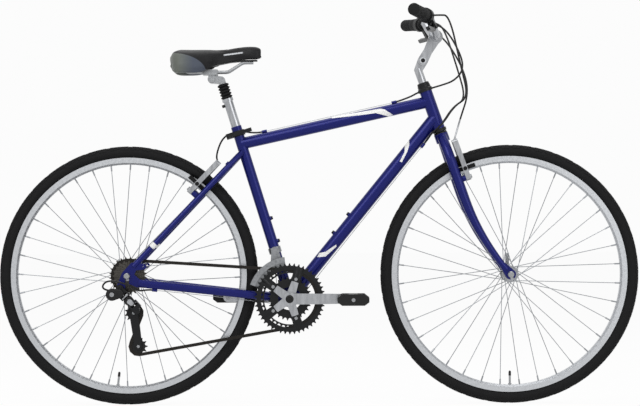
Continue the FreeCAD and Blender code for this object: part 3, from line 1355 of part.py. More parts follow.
def bracket(side):
    """A lever bracket with its hinge pin and cable barrel, and the shifter housing beside it."""
    end, inward, out, hinge = grip_frame(side)
    deep = s.lever_half + s.lever_gap + s.ear_depth
    low = hinge * -deep
    pivot = lever_point(side, lever_station, s.lever_pivot_out)
    root = lever_point(side, lever_station, 0)
    barrel = lever_point(side, lever_station + 4, s.lever_pivot_out * 0.6)
    body = fused([
        cylinder(end + inward * shifter_start, end + inward * bracket_start, s.shifter_radius),
        cylinder(end + inward * bracket_start, end + inward * bracket_end, s.bracket_radius),
        capsule(root + low, s.bracket_radius * 0.6, pivot + low, s.lever_hub + 2, hinge, deep * 2),
        cylinder(barrel, barrel + barrel_way(side) * s.barrel_length, s.barrel_radius),
    ])
    gap = s.lever_half + s.lever_gap
    slot_cut = block(pivot, (inward, out, hinge), (-s.lever_blade_length, -s.lever_hub - 3, -gap),
                     (s.lever_hub + 3, s.lever_pivot_out, gap))
    bore = cylinder(end, end + inward * (bracket_end + 4), s.bar_radius + s.fit_gap)
    return body.cut(slot_cut).cut(bore).fuse(disc(pivot, hinge, s.lever_pin, deep)).removeSplitter()


def brake_lever(side):
    end, inward, out, hinge = grip_frame(side)
    pivot = lever_point(side, lever_station, s.lever_pivot_out)
    elbow = lever_point(side, lever_station - s.lever_elbow, s.lever_blade_out)
    tip = lever_point(side, lever_station - s.lever_blade_length, s.lever_rest)
    low = hinge * -s.lever_half
    depth = 2 * s.lever_half
    half = s.lever_blade_half
    shape = fused([
        capsule(pivot + low, s.lever_hub, elbow + low, half, hinge, depth),
        capsule(elbow + low, half, tip + low, half * 1.1, hinge, depth),
    ])
    return shape.cut(disc(pivot, hinge, s.lever_pin + s.fit_gap, depth))


brackets = []
grips = []
for side, name in ((1, "left"), (-1, "right")):
    end, inward, _, _ = grip_frame(side)
    title = name.capitalize()
    grips.append(turned(title + "Grip", [
        ("-grip_end", "0"), ("-grip_end", "grip_radius - 3"), ("0", "grip_radius"),
        ("grip_length - 3", "grip_radius"), ("grip_length - 3", "grip_radius + 2"),
        ("grip_length", "grip_radius + 2"), ("grip_length", "bar_radius + fit_gap"),
        ("-fit_gap", "bar_radius + fit_gap"), ("-fit_gap", "0"),
    ], end, inward))
    keep(name + "_twist_grip", turned(title + "TwistGrip", [
        ("0", "bar_radius + running_gap"), ("0", "twist_radius - 1"), ("2", "twist_radius"),
        ("twist_length - 8", "twist_radius"), ("twist_length - 6", "twist_radius + 2"),
        ("twist_length", "twist_radius + 2"), ("twist_length", "bar_radius + running_gap"),
    ], end + inward * twist_start, inward))
    keep(name + "_brake_lever", feature(title + "BrakeLever", brake_lever(side)))
    brackets.append(bracket(side))
keep("grips", compound("Grips", grips))
keep("lever_brackets", feature("LeverBrackets", Part.makeCompound(brackets)))

# Cables


def at(x, y, z):
    return Vector(x, y, z)


def barrel_end(side):
    start = lever_point(side, lever_station + 4, s.lever_pivot_out * 0.6)
    return start + barrel_way(side) * s.barrel_length


def shifter_exit(side):
    """Where a shift cable leaves its housing, and the next point on its way."""
    end, inward, _, _ = grip_frame(side)
    forward = (X - inward * X.dot(inward)).normalize()
    start = end + inward * (bracket_start - s.shifter_length / 2)
    start += forward * (s.shifter_radius + s.lever_gap)
    return [start, start + forward * 14, start + forward * 40 + inward * 14]


loop_front = steer(s.head_tube_low + s.head_tube_length / 2, s.cable_loop)
top_entry = top_stop_front + top_along * (s.stop_length / 2 + s.fit_gap)
top_exit = top_stop_front - top_along * (s.stop_length / 2)
back_entry = top_stop_rear + top_along * (s.stop_length / 2)
back_exit = top_stop_rear - top_along * (s.stop_length / 2 + s.fit_gap)


def wire_between_arms(place, level):
    """The bare cable that pulls both brake arms together."""
    y = s.brake_pivot_y - s.brake_arm_lean - s.brake_arm_tip - s.lever_gap
    return cylinder(place(level, brake_mid, -y), place(level, brake_mid, y), s.wire_radius)


arm_top = s.brake_arm_length
noodle_y = s.brake_pivot_y - s.brake_arm_lean + s.brake_arm_tip + s.lever_gap
rear_noodle = stay(rear_pivot + arm_top, brake_mid, noodle_y)
front_noodle = steer(front_pivot + arm_top, brake_mid, noodle_y)
side_step = s.head_tube_diameter * 0.9
start = barrel_end(-1) + barrel_way(-1) * s.lever_gap
rear_brake_front = pipe([
    start, start + barrel_way(-1) * 32, loop_front + at(-10, -58, 112), loop_front + at(-4, -14, 76),
    loop_front + at(-26, 20, 50), head_high + at(44, side_step, 18), head_high + at(-14, side_step, 2),
    top_entry + top_along * 34 - top_out * 3, top_entry,
], s.housing_radius, s.loop_bend)
rear_brake_wire = cylinder(top_exit, back_entry, s.wire_radius)
collar_side = post(s.collar_level + 6, 6, s.collar_radius + s.housing_radius * 3)
rear_brake_back = pipe([
    back_exit, back_exit - top_along * 16, collar_side, collar_side + at(-46, 8, -12),
    rear_noodle + at(-8, 34, 22), rear_noodle + Y * 26, rear_noodle,
], s.housing_radius, s.tight_bend)
shift_pipes = []
for side in SIDES:
    near = down_stops[side] + down_along * (s.stop_length / 2 + s.fit_gap)
    shift_pipes.append(pipe(shifter_exit(side) + [
        loop_front + at(-14, side * 76, 86), loop_front + at(8, side * 58, 2),
        steer(s.head_tube_low + 44, 58, side * 36), steer(s.head_tube_low + 8, 12, side * 35),
        steer(s.head_tube_low - 5, -24, side * 25), near + down_along * 16, near,
    ], s.housing_radius, s.loop_bend))
under = bb + Vector(0, 0, -s.shell_diameter / 2 - s.wire_radius * 3)
for side in SIDES:
    start = down_stops[side] - down_along * (s.stop_length / 2)
    low = bb + down_along * (s.shell_diameter * 1.6) + down_out * down_stop_off + Y * (side * s.down_stop_y)
    y = Y * (side * s.down_stop_y * 0.7)
    if side < 0:
        target = chain_stop - chain_along * (s.stop_length / 2)
        root = chain_root + chain_along * 60 - chain_stop_drop
        route = [start, low, under + at(12, 0, 0) + y, under + at(-18, 0, 0) + y, root, target]
    else:
        shelf = post(52, -s.seat_tube_diameter * 0.8, -s.down_stop_y)
        goal = guide_middle + at(-3, -block_inner - 8, -s.changer_height - 2)
        route = [start, low, under + at(12, 0, 0) + y, under + at(-26, 0, 2) + y, shelf, goal]
    shift_pipes.append(pipe(route, s.wire_radius, s.tight_bend))
loop_start = chain_stop + chain_along * (s.stop_length / 2 + s.fit_gap)
loop_way = Vector(-0.94, 0, -0.34)
loop_end = hanger - Y * (s.knuckle_y + s.housing_radius) + loop_way * (s.hanger_radius - 1 + s.lever_gap)
shift_pipes.append(pipe([
    loop_start, loop_start + chain_along * 10, rear_axle + at(28, -84, -40), rear_axle + at(0, -112, -18),
    rear_axle + at(-50, -114, -8), rear_axle + at(-68, -102, -30), loop_end + loop_way * 14, loop_end,
], s.housing_radius, s.tight_bend))
keep("frame_cables", feature("FrameCables", Part.makeCompound(
    [rear_brake_front, rear_brake_wire, rear_brake_back, wire_between_arms(stay, rear_pivot + arm_top)]
    + shift_pipes)))
start = barrel_end(1)
front_pipe = pipe([
    start, start + barrel_way(1) * 32, loop_front + at(-2, 50, 92), loop_front + at(16, 54, 20),
    front_noodle + at(20, 34, 66), front_noodle + at(4, 30, 10), front_noodle + Y * 16, front_noodle,
], s.housing_radius, s.loop_bend)
keep("front_brake_cable", feature("FrontBrakeCable", Part.makeCompound(
    [front_pipe, wire_between_arms(steer, front_pivot + arm_top)])))

# Seat

keep("seatpost", turned("Seatpost", [
    ("post_low", "0"), ("post_low", "post_radius"), ("post_top - 8", "post_radius"),
    ("post_top - 8", "post_radius + 2.5"), ("post_top", "post_radius + 2.5"), ("post_top", "post_bore"),
    ("post_top - post_bore_depth", "post_bore"), ("post_top - post_bore_depth", "0"),
], bb, seat_up))
tilt_point = post(s.clamp_level, -s.clamp_back)
head_low_point = post(s.plunger_head)
plunger = fused([
    cylinder(post(s.post_top - s.plunger_insert), head_low_point, s.plunger_radius),
    capsule(head_low_point - Y * s.head_half, s.plunger_radius, tilt_point - Y * s.head_half, s.clamp_radius,
            Y, 2 * s.head_half),
])
keep("seatpost_plunger", feature("Plunger", plunger.cut(disc(tilt_point, Y, s.tilt_pin, s.clamp_half))))

boot_low = s.post_top + s.lever_gap
fold = (s.boot_top - boot_low) / s.boot_folds
outer_wall, inner_wall = [], []
for index in range(int(s.boot_folds)):
    low = boot_low + fold * index
    outer_wall += [(low, s.boot_root + s.boot_wall), (low + fold / 2, s.boot_radius)]
    inner_wall += [(low, s.boot_root), (low + fold / 2, s.boot_radius - s.boot_wall)]
outer_wall.append((s.boot_top, s.boot_root + s.boot_wall))
inner_wall.append((s.boot_top, s.boot_root))
section = [post(level, radius) for level, radius in outer_wall + inner_wall[::-1]]
bellows = Part.Face(Part.makePolygon(section + section[:1])).revolve(bb, seat_up, 360)
keep("seatpost_boot", feature("Boot", bellows))

clamp_axes = (X, Y, Z)
pin_y = s.head_half + s.lever_gap
rail_z = s.rail_rise
seat_z = s.clamp_radius + s.lever_gap
clamp_shapes = [
    block(tilt_point, clamp_axes, (-s.clamp_rear, -s.clamp_half, seat_z),
          (s.clamp_front, s.clamp_half, rail_z + s.clamp_plate)),
    disc(tilt_point, Y, s.tilt_pin - s.fit_gap, pin_y + s.clamp_ear),
]
for side in SIDES:
    ear_low = tilt_point + Y * min(side * pin_y, side * (pin_y + s.clamp_ear))
    clamp_shapes.append(capsule(ear_low, s.clamp_radius - 2, ear_low + Z * (seat_z + 2),
                                s.clamp_radius - 2, Y, s.clamp_ear))
clamp_shape = fused(clamp_shapes)
for side in SIDES:
    rail_line = tilt_point + Vector(0, side * s.rail_half, rail_z)
    clamp_shape = clamp_shape.cut(disc(rail_line, X, s.rail_radius + s.fit_gap, s.saddle_length / 2))
    clamp_shape = clamp_shape.cut(block(rail_line, clamp_axes, (-s.clamp_rear * 2, -s.rail_half * 0.55, -0.4),
                                        (s.clamp_front * 2, s.rail_half * 0.55, 0.4)))
keep("saddle_clamp", feature("SaddleClamp", clamp_shape))


def smooth(value, low, high):
    """A share that eases from 0 to 1 between two values."""
    share = min(max((value - low) / (high - low), 0), 1)
    return share * share * (3 - 2 * share)


def saddle_station(share):
    """Position, half width, top and bottom of the saddle at a share of its length from the rear."""
    x = tilt_point.x - s.saddle_back + s.saddle_length * share
    ends = min(1, (share + 0.012) / 0.13, (1.012 - share) / 0.08)
    rounding = math.sqrt(1 - (1 - ends) ** 2)
    half = s.saddle_nose_half + (s.saddle_rear_half - s.saddle_nose_half) * (1 - smooth(share, 0.2, 0.68))
    top = tilt_point.z + s.saddle_top + s.saddle_nose_rise * smooth(share, 0.55, 0.85)
    depth = s.saddle_nose_depth + (s.saddle_skirt - s.saddle_nose_depth) * (1 - smooth(share, 0.28, 0.62))
    middle = top - depth * 0.45
    return x, half * rounding, middle + (top - middle) * rounding, middle - (depth * 0.55) * rounding


def saddle_section(share):
    x, half, top, bottom = saddle_station(share)
    tall = top - bottom
    quarter = [(0.9, 0), (1.0, 0.2), (0.97, 0.52), (0.82, 0.84), (0.5, 0.97), (0, 0.985)]
    points = [Vector(x, half * u, bottom + tall * v) for u, v in quarter]
    points += [Vector(x, -half * u, bottom + tall * v) for u, v in quarter[-2::-1]]
    curve = Part.BSplineCurve()
    curve.interpolate(points)
    return Part.Wire([curve.toShape(), Part.LineSegment(points[-1], points[0]).toShape()])


def shell_station(share):
    x = tilt_point.x - s.saddle_back + s.shell_margin + (s.saddle_length - 2 * s.shell_margin) * share
    half = s.shell_nose_half + (s.shell_rear_half - s.shell_nose_half) * (1 - smooth(share, 0.2, 0.68))
    half *= 0.7 + 0.3 * smooth(share, 0, 0.15)
    return x, half, tilt_point.z + s.shell_level + s.shell_nose_rise * smooth(share, 0.3, 0.85)


def shell_loft(margin, below, above):
    rings = []
    for share in (0, 0.12, 0.3, 0.42, 0.55, 0.68, 0.85, 1):
        x, half, level = shell_station(share)
        half += margin
        corners = [Vector(x, half, level - below), Vector(x, half, level + above),
                   Vector(x, -half, level + above), Vector(x, -half, level - below)]
        rings.append(Part.makePolygon(corners + corners[:1]))
    return Part.makeLoft(rings, True, True)


stations = (0, 0.03, 0.1, 0.2, 0.32, 0.44, 0.56, 0.7, 0.85, 0.95, 1)
cover = Part.makeLoft([saddle_section(share) for share in stations], True, False)
cover = cover.cut(shell_loft(s.lever_gap, s.saddle_skirt, s.shell_thickness + s.lever_gap))
keep("saddle_cover", feature("SaddleCover", cover))
keep("saddle_base", feature("SaddleBase", shell_loft(0, 0, s.shell_thickness)))
rail_drop = s.rail_radius + s.lever_gap
rails = []
for side in SIDES:
    level = tilt_point.z + rail_z
    rear_x, _, rear_level = shell_station(0.06)
    nose_x, _, nose_level = shell_station(0.95)
    rails.append(pipe([
        at(rear_x, side * s.rail_half * 1.5, rear_level - rail_drop),
        at(rear_x + 24, side * s.rail_half, level), at(tilt_point.x + 44, side * s.rail_half, level),
        at(nose_x - 28, side * s.rail_half / 2, nose_level - rail_drop),
        at(nose_x, side * s.rail_half / 3, nose_level - rail_drop),
    ], s.rail_radius, s.tight_bend))
keep("saddle_rails", feature("SaddleRails", Part.makeCompound(rails)))

# Checks and export

doc.recompute()
for item in doc.Objects:
    if "Invalid" in item.State or "Error" in item.State:
        raise RuntimeError(f"{item.Label} did not build")
os.makedirs("parts", exist_ok=True)
for name, item in PARTS.items():
    if item.Shape.isNull() or not item.Shape.isValid() or not item.Shape.Solids:
        raise RuntimeError(f"{name} has no valid shape")
    item.Shape.exportStep(f"parts/{name}.step")
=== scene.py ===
# %% [markdown]
# # A hybrid bike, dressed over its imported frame
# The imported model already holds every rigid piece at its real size, and this lesson leaves it as it
# is. It gives those pieces their finishes, and makes what a CAD solid leaves out: tread, ribbed
# grips, a padded saddle, smooth cable housings, bolt heads and stripes. All lengths are metres.

# %% Load the frame
import json
import math
import bmesh
import bpy
from mathutils import Matrix, Vector


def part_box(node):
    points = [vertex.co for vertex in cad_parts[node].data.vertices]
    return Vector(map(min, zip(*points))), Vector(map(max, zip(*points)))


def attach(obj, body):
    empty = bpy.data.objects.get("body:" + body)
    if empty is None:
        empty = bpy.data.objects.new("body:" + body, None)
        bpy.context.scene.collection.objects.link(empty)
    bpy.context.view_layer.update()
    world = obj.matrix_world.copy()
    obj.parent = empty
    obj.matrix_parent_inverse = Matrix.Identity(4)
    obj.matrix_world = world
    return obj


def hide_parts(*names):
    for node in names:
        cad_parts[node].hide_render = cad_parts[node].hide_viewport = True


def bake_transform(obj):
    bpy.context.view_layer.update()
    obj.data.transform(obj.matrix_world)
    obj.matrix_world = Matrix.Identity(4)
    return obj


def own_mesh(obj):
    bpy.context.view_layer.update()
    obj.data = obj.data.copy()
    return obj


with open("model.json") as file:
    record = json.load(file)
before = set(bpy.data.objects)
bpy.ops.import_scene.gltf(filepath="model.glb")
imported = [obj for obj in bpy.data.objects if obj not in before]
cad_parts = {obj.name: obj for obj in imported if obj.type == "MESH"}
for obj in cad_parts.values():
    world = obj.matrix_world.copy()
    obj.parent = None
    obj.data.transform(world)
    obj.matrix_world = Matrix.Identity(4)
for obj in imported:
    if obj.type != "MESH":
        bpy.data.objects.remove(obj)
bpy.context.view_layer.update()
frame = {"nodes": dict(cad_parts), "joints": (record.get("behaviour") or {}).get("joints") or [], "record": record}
scene = bpy.context.scene
scene.view_settings.view_transform = "Standard"

# %% [markdown]
# ## The camera
# The picture is taken square on to the right side from well back, so both wheels look round. A long
# lens could be set by its focal length, but the angle is easier to reason about: it is twice the
# angle that takes in half the picture's width at the distance of the bike's middle plane.

# %% Camera
HALF_WIDTH, DISTANCE, HEIGHT, ASIDE = 0.867, 6.65, 0.544, 0.003
ROLL = math.radians(0.26)        # the ground in the picture is not quite level
camera_data = bpy.data.cameras.new("camera")
camera_data.angle = 2 * math.atan(HALF_WIDTH / DISTANCE)
camera = bpy.data.objects.new("camera", camera_data)
camera.location = (ASIDE, -DISTANCE, HEIGHT)
camera.rotation_euler = (math.radians(90), ROLL, 0)
scene.collection.objects.link(camera)
scene.camera = camera
print("camera angle", round(math.degrees(camera_data.angle), 2), "degrees")

# %% [markdown]
# ## Colours and nodes
# Colours are written as the hex values that a paint chart gives, and shaders want linear light, so
# one function turns one into the other. One more adds a node, sets it and links it, which keeps
# each material below down to a few readable lines.

# %% Colour and node helpers
def linear(colour):
    """The linear numbers of an sRGB hex colour."""
    parts = [int(colour[at:at + 2], 16) / 255 for at in (1, 3, 5)]
    return [c / 12.92 if c <= 0.04045 else ((c + 0.055) / 1.055) ** 2.4 for c in parts] + [1.0]


def add(tree, kind, inputs=None, **settings):
    """A new node; an input is either a number to set or an output to link."""
    node = tree.nodes.new(kind)
    for name, value in settings.items():
        setattr(node, name, value)
    for key, value in (inputs or {}).items():
        if isinstance(value, bpy.types.NodeSocket):
            tree.links.new(value, node.inputs[key])
        else:
            node.inputs[key].default_value = value
    return node


print("middle grey in linear light", [round(c, 3) for c in linear("#808080")])

# %% [markdown]
# ## The studio
# The bike stands on a plain pale sweep under soft light. A white world alone would light it flatly
# and wash out its colours. So the world looks white only to the camera, in reflections and through
# clear things, and lights the bike less than that.

# %% World
SOFT_LIGHT = 0.42


def seen(tree):
    """1 for rays that show the background: camera, glossy and transmission rays."""
    rays = add(tree, "ShaderNodeLightPath")
    shine = add(tree, "ShaderNodeMath", {0: rays.outputs["Is Camera Ray"],
                                         1: rays.outputs["Is Glossy Ray"]}, operation="MAXIMUM")
    return add(tree, "ShaderNodeMath", {0: shine.outputs[0], 1: rays.outputs["Is Transmission Ray"]},
               operation="MAXIMUM").outputs[0]


scene.world = bpy.data.worlds.new("studio")
scene.world.use_nodes = True
tree = scene.world.node_tree
tree.nodes.clear()
soft = add(tree, "ShaderNodeBackground", {"Color": linear("#ffffff"), "Strength": SOFT_LIGHT})
white = add(tree, "ShaderNodeBackground", {"Color": linear("#fcfcfc"), "Strength": 1.0})
both = add(tree, "ShaderNodeMixShader", {0: seen(tree), 1: soft.outputs[0], 2: white.outputs[0]})
add(tree, "ShaderNodeOutputWorld", {"Surface": both.outputs[0]})
print("world nodes", len(tree.nodes))

# %% [markdown]
# The floor is white paper. Plain paper renders greyer than the world behind it, so most of what the
# camera sees of it is a glow of the same white. The small rest is real paper, which keeps the shadow.

# %% Floor
FLOOR_GLOW = 0.94
sweep = bpy.data.materials.new("pale_paper")
sweep.use_nodes = True
tree = sweep.node_tree
tree.nodes.clear()
paper = add(tree, "ShaderNodeBsdfDiffuse", {"Color": linear("#f4f4f4")})
glow = add(tree, "ShaderNodeEmission", {"Color": linear("#ffffff"), "Strength": 1.0})
share = add(tree, "ShaderNodeMath", {0: seen(tree), 1: FLOOR_GLOW}, operation="MULTIPLY")
mix = add(tree, "ShaderNodeMixShader", {0: share.outputs[0], 1: paper.outputs[0], 2: glow.outputs[0]})
add(tree, "ShaderNodeOutputMaterial", {"Surface": mix.outputs[0]})
bm = bmesh.new()
bmesh.ops.create_grid(bm, x_segments=2, y_segments=2, size=20)
floor_mesh = bpy.data.meshes.new("floor")
bm.to_mesh(floor_mesh)
bm.free()
floor_mesh.materials.append(sweep)
floor = bpy.data.objects.new("floor", floor_mesh)
scene.collection.objects.link(floor)
print("floor faces", len(floor_mesh.polygons))

# %% [markdown]
# Three lamps light the bike: a key from the left, a weak fill from the right, and one above and
# behind that brightens the tops of the tubes. Point lamps would be simpler, but they leave small hard
# dots on round tubes, where these large areas give broad highlights.

# %% Lamps
# Each lamp: its place, its size and its power in watts
lamps = {
    "key": ((-1.4, -3.2, 3.0), 2.6, 70),
    "fill": ((2.2, -2.8, 1.5), 2.2, 24),
    "top": ((0.2, 0.8, 3.4), 3.0, 45),
}
bike_middle = Vector((0, 0, 0.5))
for name, (place, size, power) in lamps.items():
    lamp = bpy.data.lights.new(name, "AREA")
    lamp.energy, lamp.size = power, size
    thing = bpy.data.objects.new(name, lamp)
    thing.location = place
    thing.rotation_euler = (bike_middle - Vector(place)).to_track_quat("-Z", "Y").to_euler()
    scene.collection.objects.link(thing)
    print(name, "lamp", power, "W")

# %% [markdown]
# ## Finishes
# Each finish starts from the real material and from how its surface was made. They share a pattern:
# a fine grain of a real size in millimetres changes the gloss, the shade and, on moulded surfaces,
# the height. A grain finer than a pixel would not show, so the finest are drawn coarser than they are.

# %% A finish with grain
def finish(name, colour, shade, metallic, gloss, grain_mm, height_mm=0.0, stretch=(1, 1, 1), **sockets):
    """A material whose roughness runs over gloss = (low, high) with a grain of that size."""
    material = bpy.data.materials.new(name)
    material.use_nodes = True
    tree = material.node_tree
    tree.nodes.clear()
    where = add(tree, "ShaderNodeTexCoord")
    turned_grain = add(tree, "ShaderNodeMapping", {"Vector": where.outputs["Object"], "Scale": stretch})
    grain = add(tree, "ShaderNodeTexNoise", {"Vector": turned_grain.outputs[0],
                                             "Scale": 1000 / grain_mm, "Detail": 3.0})
    rough = add(tree, "ShaderNodeMapRange", {"Value": grain.outputs[0], "From Min": 0.3, "From Max": 0.7,
                                             "To Min": gloss[0], "To Max": gloss[1]})
    tint = add(tree, "ShaderNodeMix", {0: grain.outputs[0], 6: linear(shade), 7: linear(colour)},
               data_type="RGBA")
    shader = add(tree, "ShaderNodeBsdfPrincipled", {"Base Color": tint.outputs[2], "Metallic": metallic,
                                                    "Roughness": rough.outputs[0], **sockets})
    if height_mm:
        rise = add(tree, "ShaderNodeBump", {"Height": grain.outputs[0], "Distance": height_mm / 1000})
        tree.links.new(rise.outputs[0], shader.inputs["Normal"])
    add(tree, "ShaderNodeOutputMaterial", {"Surface": shader.outputs[0]})
    return material


finishes = {
    # Two-coat metallic enamel: flakes under a clear coat, drawn at 1.5 mm so that they show
    "frame_paint": finish("metallic_enamel", "#151d72", "#080d4e", 0.35, (0.24, 0.36), 1.5,
                          **{"Specular IOR Level": 0.15, "Coat Weight": 0.18, "Coat Roughness": 0.05}),
    # Anodised aluminium and painted steel, both black: a satin skin with a slight tooth
    "black_metal": finish("black_anodising", "#1b1c1e", "#0f0f10", 0.6, (0.3, 0.42), 1.2),
    # Vulcanised rubber off a mould: dull, with dusty patches
    "tyre_rubber": finish("tyre_rubber", "#1c1c1d", "#101011", 0.0, (0.66, 0.84), 4.0, 0.15,
                          **{"Specular IOR Level": 0.15}),
    # Extruded aluminium, anodised silver: even satin
    "rim_alloy": finish("anodised_aluminium", "#c9cbce", "#aeb1b5", 1.0, (0.24, 0.36), 6.0),
    # Drawn stainless wire: bright
    "spoke_steel": finish("drawn_steel", "#9b9ea1", "#7f8285", 1.0, (0.18, 0.28), 3.0),
    # Forged aluminium, polished on a wheel: faint streaks along the length
    "polished_alloy": finish("polished_aluminium", "#c3c5c8", "#77797d", 1.0, (0.12, 0.26), 9.0,
                             stretch=(1, 1, 0.15)),
    # Zinc plated steel: soft satin
    "silver_steel": finish("plated_steel", "#adafb1", "#7d7f82", 1.0, (0.24, 0.38), 2.5),
    # Oiled chain plates: dark film over steel
    "chain_steel": finish("oiled_steel", "#34312e", "#191817", 0.9, (0.28, 0.46), 2.0),
    # Moulded nylon: a fine spark-eroded texture, drawn at 0.9 mm
    "black_plastic": finish("moulded_nylon", "#1a1a1b", "#0e0e0e", 0.0, (0.42, 0.56), 0.9, 0.06,
                            **{"Specular IOR Level": 0.25}),
    # Soft moulded rubber: matte
    "black_rubber": finish("soft_rubber", "#181819", "#0d0d0e", 0.0, (0.62, 0.8), 1.4, 0.05,
                           **{"Specular IOR Level": 0.2}),
    # Extruded cable liner: smooth and semi-gloss
    "housing_plastic": finish("extruded_liner", "#151516", "#0b0b0c", 0.0, (0.28, 0.38), 5.0,
                              **{"Specular IOR Level": 0.3}),
}
print("finishes", sorted(finishes))

# %% [markdown]
# ## The saddle's vinyl
# A saddle is covered in pebbled vinyl, with two grey panels low at the back and a pale flash on each
# side of the nose. Separate panels could be cut, but on a stretched cover they are one skin, so the
# colours are laid out in the material: an ellipse for the panels and a slim bar for the flash.

# %% Where the panels and the flash lie
# Each one's middle (x, z) and half sizes
PANEL_X, PANEL_Z, PANEL_LONG, PANEL_HIGH = -0.399, 0.897, 0.098, 0.052
FLASH_X, FLASH_Z, FLASH_LONG, FLASH_HIGH = -0.2295, 0.94805, 0.0275, 0.0022
FLASH_LEAN = math.atan2(0.0071, 0.055)
vinyl = bpy.data.materials.new("pebbled_vinyl")
vinyl.use_nodes = True
tree = vinyl.node_tree
tree.nodes.clear()
where = add(tree, "ShaderNodeTexCoord").outputs["Object"]
oval = add(tree, "ShaderNodeMapping", {
    "Vector": where, "Location": (-PANEL_X / PANEL_LONG, 0, -PANEL_Z / PANEL_HIGH),
    "Scale": (1 / PANEL_LONG, 0, 1 / PANEL_HIGH)})
reach = add(tree, "ShaderNodeVectorMath", {0: oval.outputs[0]}, operation="LENGTH")
panel = add(tree, "ShaderNodeMapRange", {"Value": reach.outputs["Value"],
                                         "From Min": 1.0, "From Max": 0.985})
bar = add(tree, "ShaderNodeVectorMath", {0: where, 1: (FLASH_X, 0, FLASH_Z)}, operation="SUBTRACT")
level = add(tree, "ShaderNodeVectorRotate", {"Vector": bar.outputs[0], "Angle": FLASH_LEAN},
            rotation_type="Y_AXIS")
sized = add(tree, "ShaderNodeVectorMath", {0: level.outputs[0], 1: (1 / FLASH_LONG, 0, 1 / FLASH_HIGH)},
            operation="MULTIPLY")
flat = add(tree, "ShaderNodeVectorMath", {0: sized.outputs[0]}, operation="ABSOLUTE")
sides = add(tree, "ShaderNodeSeparateXYZ", {0: flat.outputs[0]})
edge = add(tree, "ShaderNodeMath", {0: sides.outputs[0], 1: sides.outputs[2]}, operation="MAXIMUM")
flash = add(tree, "ShaderNodeMapRange", {"Value": edge.outputs[0], "From Min": 1.0, "From Max": 0.85})
print("panels end at x", round(PANEL_X - PANEL_LONG, 3), "and", round(PANEL_X + PANEL_LONG, 3))

# %% [markdown]
# The panels' grey turns bluer towards the nose, so two greys fade into one another along the saddle.
# The pebbles could be noise, but the cells of a Voronoi pattern look more like embossed vinyl.

# %% Pebbled vinyl
# Vinyl pebbles are about 1.2 mm across; they are drawn at 2.5 mm so that they show
PEBBLE_MM = 2.5
pebbles = add(tree, "ShaderNodeTexVoronoi", {"Vector": where, "Scale": 1000 / PEBBLE_MM})
rise = add(tree, "ShaderNodeBump", {"Height": pebbles.outputs[0], "Strength": 0.35, "Distance": 0.0004})
along = add(tree, "ShaderNodeSeparateXYZ", {0: where})
fade = add(tree, "ShaderNodeMapRange", {"Value": along.outputs[0], "From Min": -0.375, "From Max": -0.335})
grey = add(tree, "ShaderNodeMix", {0: fade.outputs[0], 6: linear("#666a64"), 7: linear("#4c525e")},
           data_type="RGBA")
skin = add(tree, "ShaderNodeMix", {0: panel.outputs[0], 6: linear("#141416"), 7: grey.outputs[2]},
           data_type="RGBA")
colour = add(tree, "ShaderNodeMix", {0: flash.outputs[0], 6: skin.outputs[2], 7: linear("#c9ccd0")},
             data_type="RGBA")
rough = add(tree, "ShaderNodeMapRange", {"Value": pebbles.outputs[0], "To Min": 0.38, "To Max": 0.52})
shader = add(tree, "ShaderNodeBsdfPrincipled", {
    "Base Color": colour.outputs[2], "Roughness": rough.outputs[0], "Specular IOR Level": 0.2,
    "Normal": rise.outputs[0]})
add(tree, "ShaderNodeOutputMaterial", {"Surface": shader.outputs[0]})
finishes["saddle_vinyl"] = vinyl
print("saddle vinyl nodes", len(tree.nodes))

# %% [markdown]
# ## Finishes on the CAD pieces
# Most rigid pieces already have their true shape, so they only need their material. The record says
# which slot each one belongs to. A few pieces share a slot but are made otherwise, and get their own.

# %% Dress the CAD nodes
slot_of = {part["node"]: part["material_slot"] for part in frame["record"]["subparts"]}
# Sprockets are browned by hardening and oil; the front changer is pressed from dull steel
own_finish = {"sprockets": finish("oiled_sprocket_steel", "#625f5a", "#2b2927", 1.0, (0.26, 0.42), 3.0),
              "front_derailleur_cage": finish("pressed_steel", "#a3a5a8", "#66686b", 1.0, (0.26, 0.4), 6.0)}
own_finish["front_derailleur_body"] = own_finish["front_derailleur_cage"]
for name, thing in frame["nodes"].items():
    material = own_finish.get(name, finishes[slot_of[name]])
    if not thing.material_slots:
        thing.data.materials.append(material)
    for place in thing.material_slots:
        place.material = material
print("dressed", len(slot_of), "nodes")

# %% [markdown]
# ## Helpers for new pieces
# Nearly everything added here is round: bolts, grips, bellows. Such a form is an outline spun round
# an axis, as on a lathe. Another helper closes a mesh, turns its faces outwards, smooths it and
# hangs it on the body that it moves with.

# %% Lathe and hang
SHARP_EDGE = 32        # degrees


def lathe(bm, outline, start, axis, steps=24, closed=False):
    """Spins an outline of (distance along the axis, radius) round the axis."""
    start, axis = Vector(start), Vector(axis).normalized()
    side = axis.orthogonal().normalized()
    points = [bm.verts.new(start + axis * far + side * radius) for far, radius in outline]
    pairs = list(zip(points, points[1:])) + ([(points[-1], points[0])] if closed else [])
    edges = [bm.edges.new(pair) for pair in pairs]
    bmesh.ops.spin(bm, geom=points + edges, cent=start, axis=axis, angle=math.tau, steps=steps,
                   use_merge=True)


def closed_up(bm):
    """Merges doubles, then turns the faces outwards."""
    bmesh.ops.remove_doubles(bm, verts=bm.verts, dist=1e-6)
    bmesh.ops.dissolve_degenerate(bm, edges=bm.edges, dist=1e-7)
    bmesh.ops.recalc_face_normals(bm, faces=bm.faces)


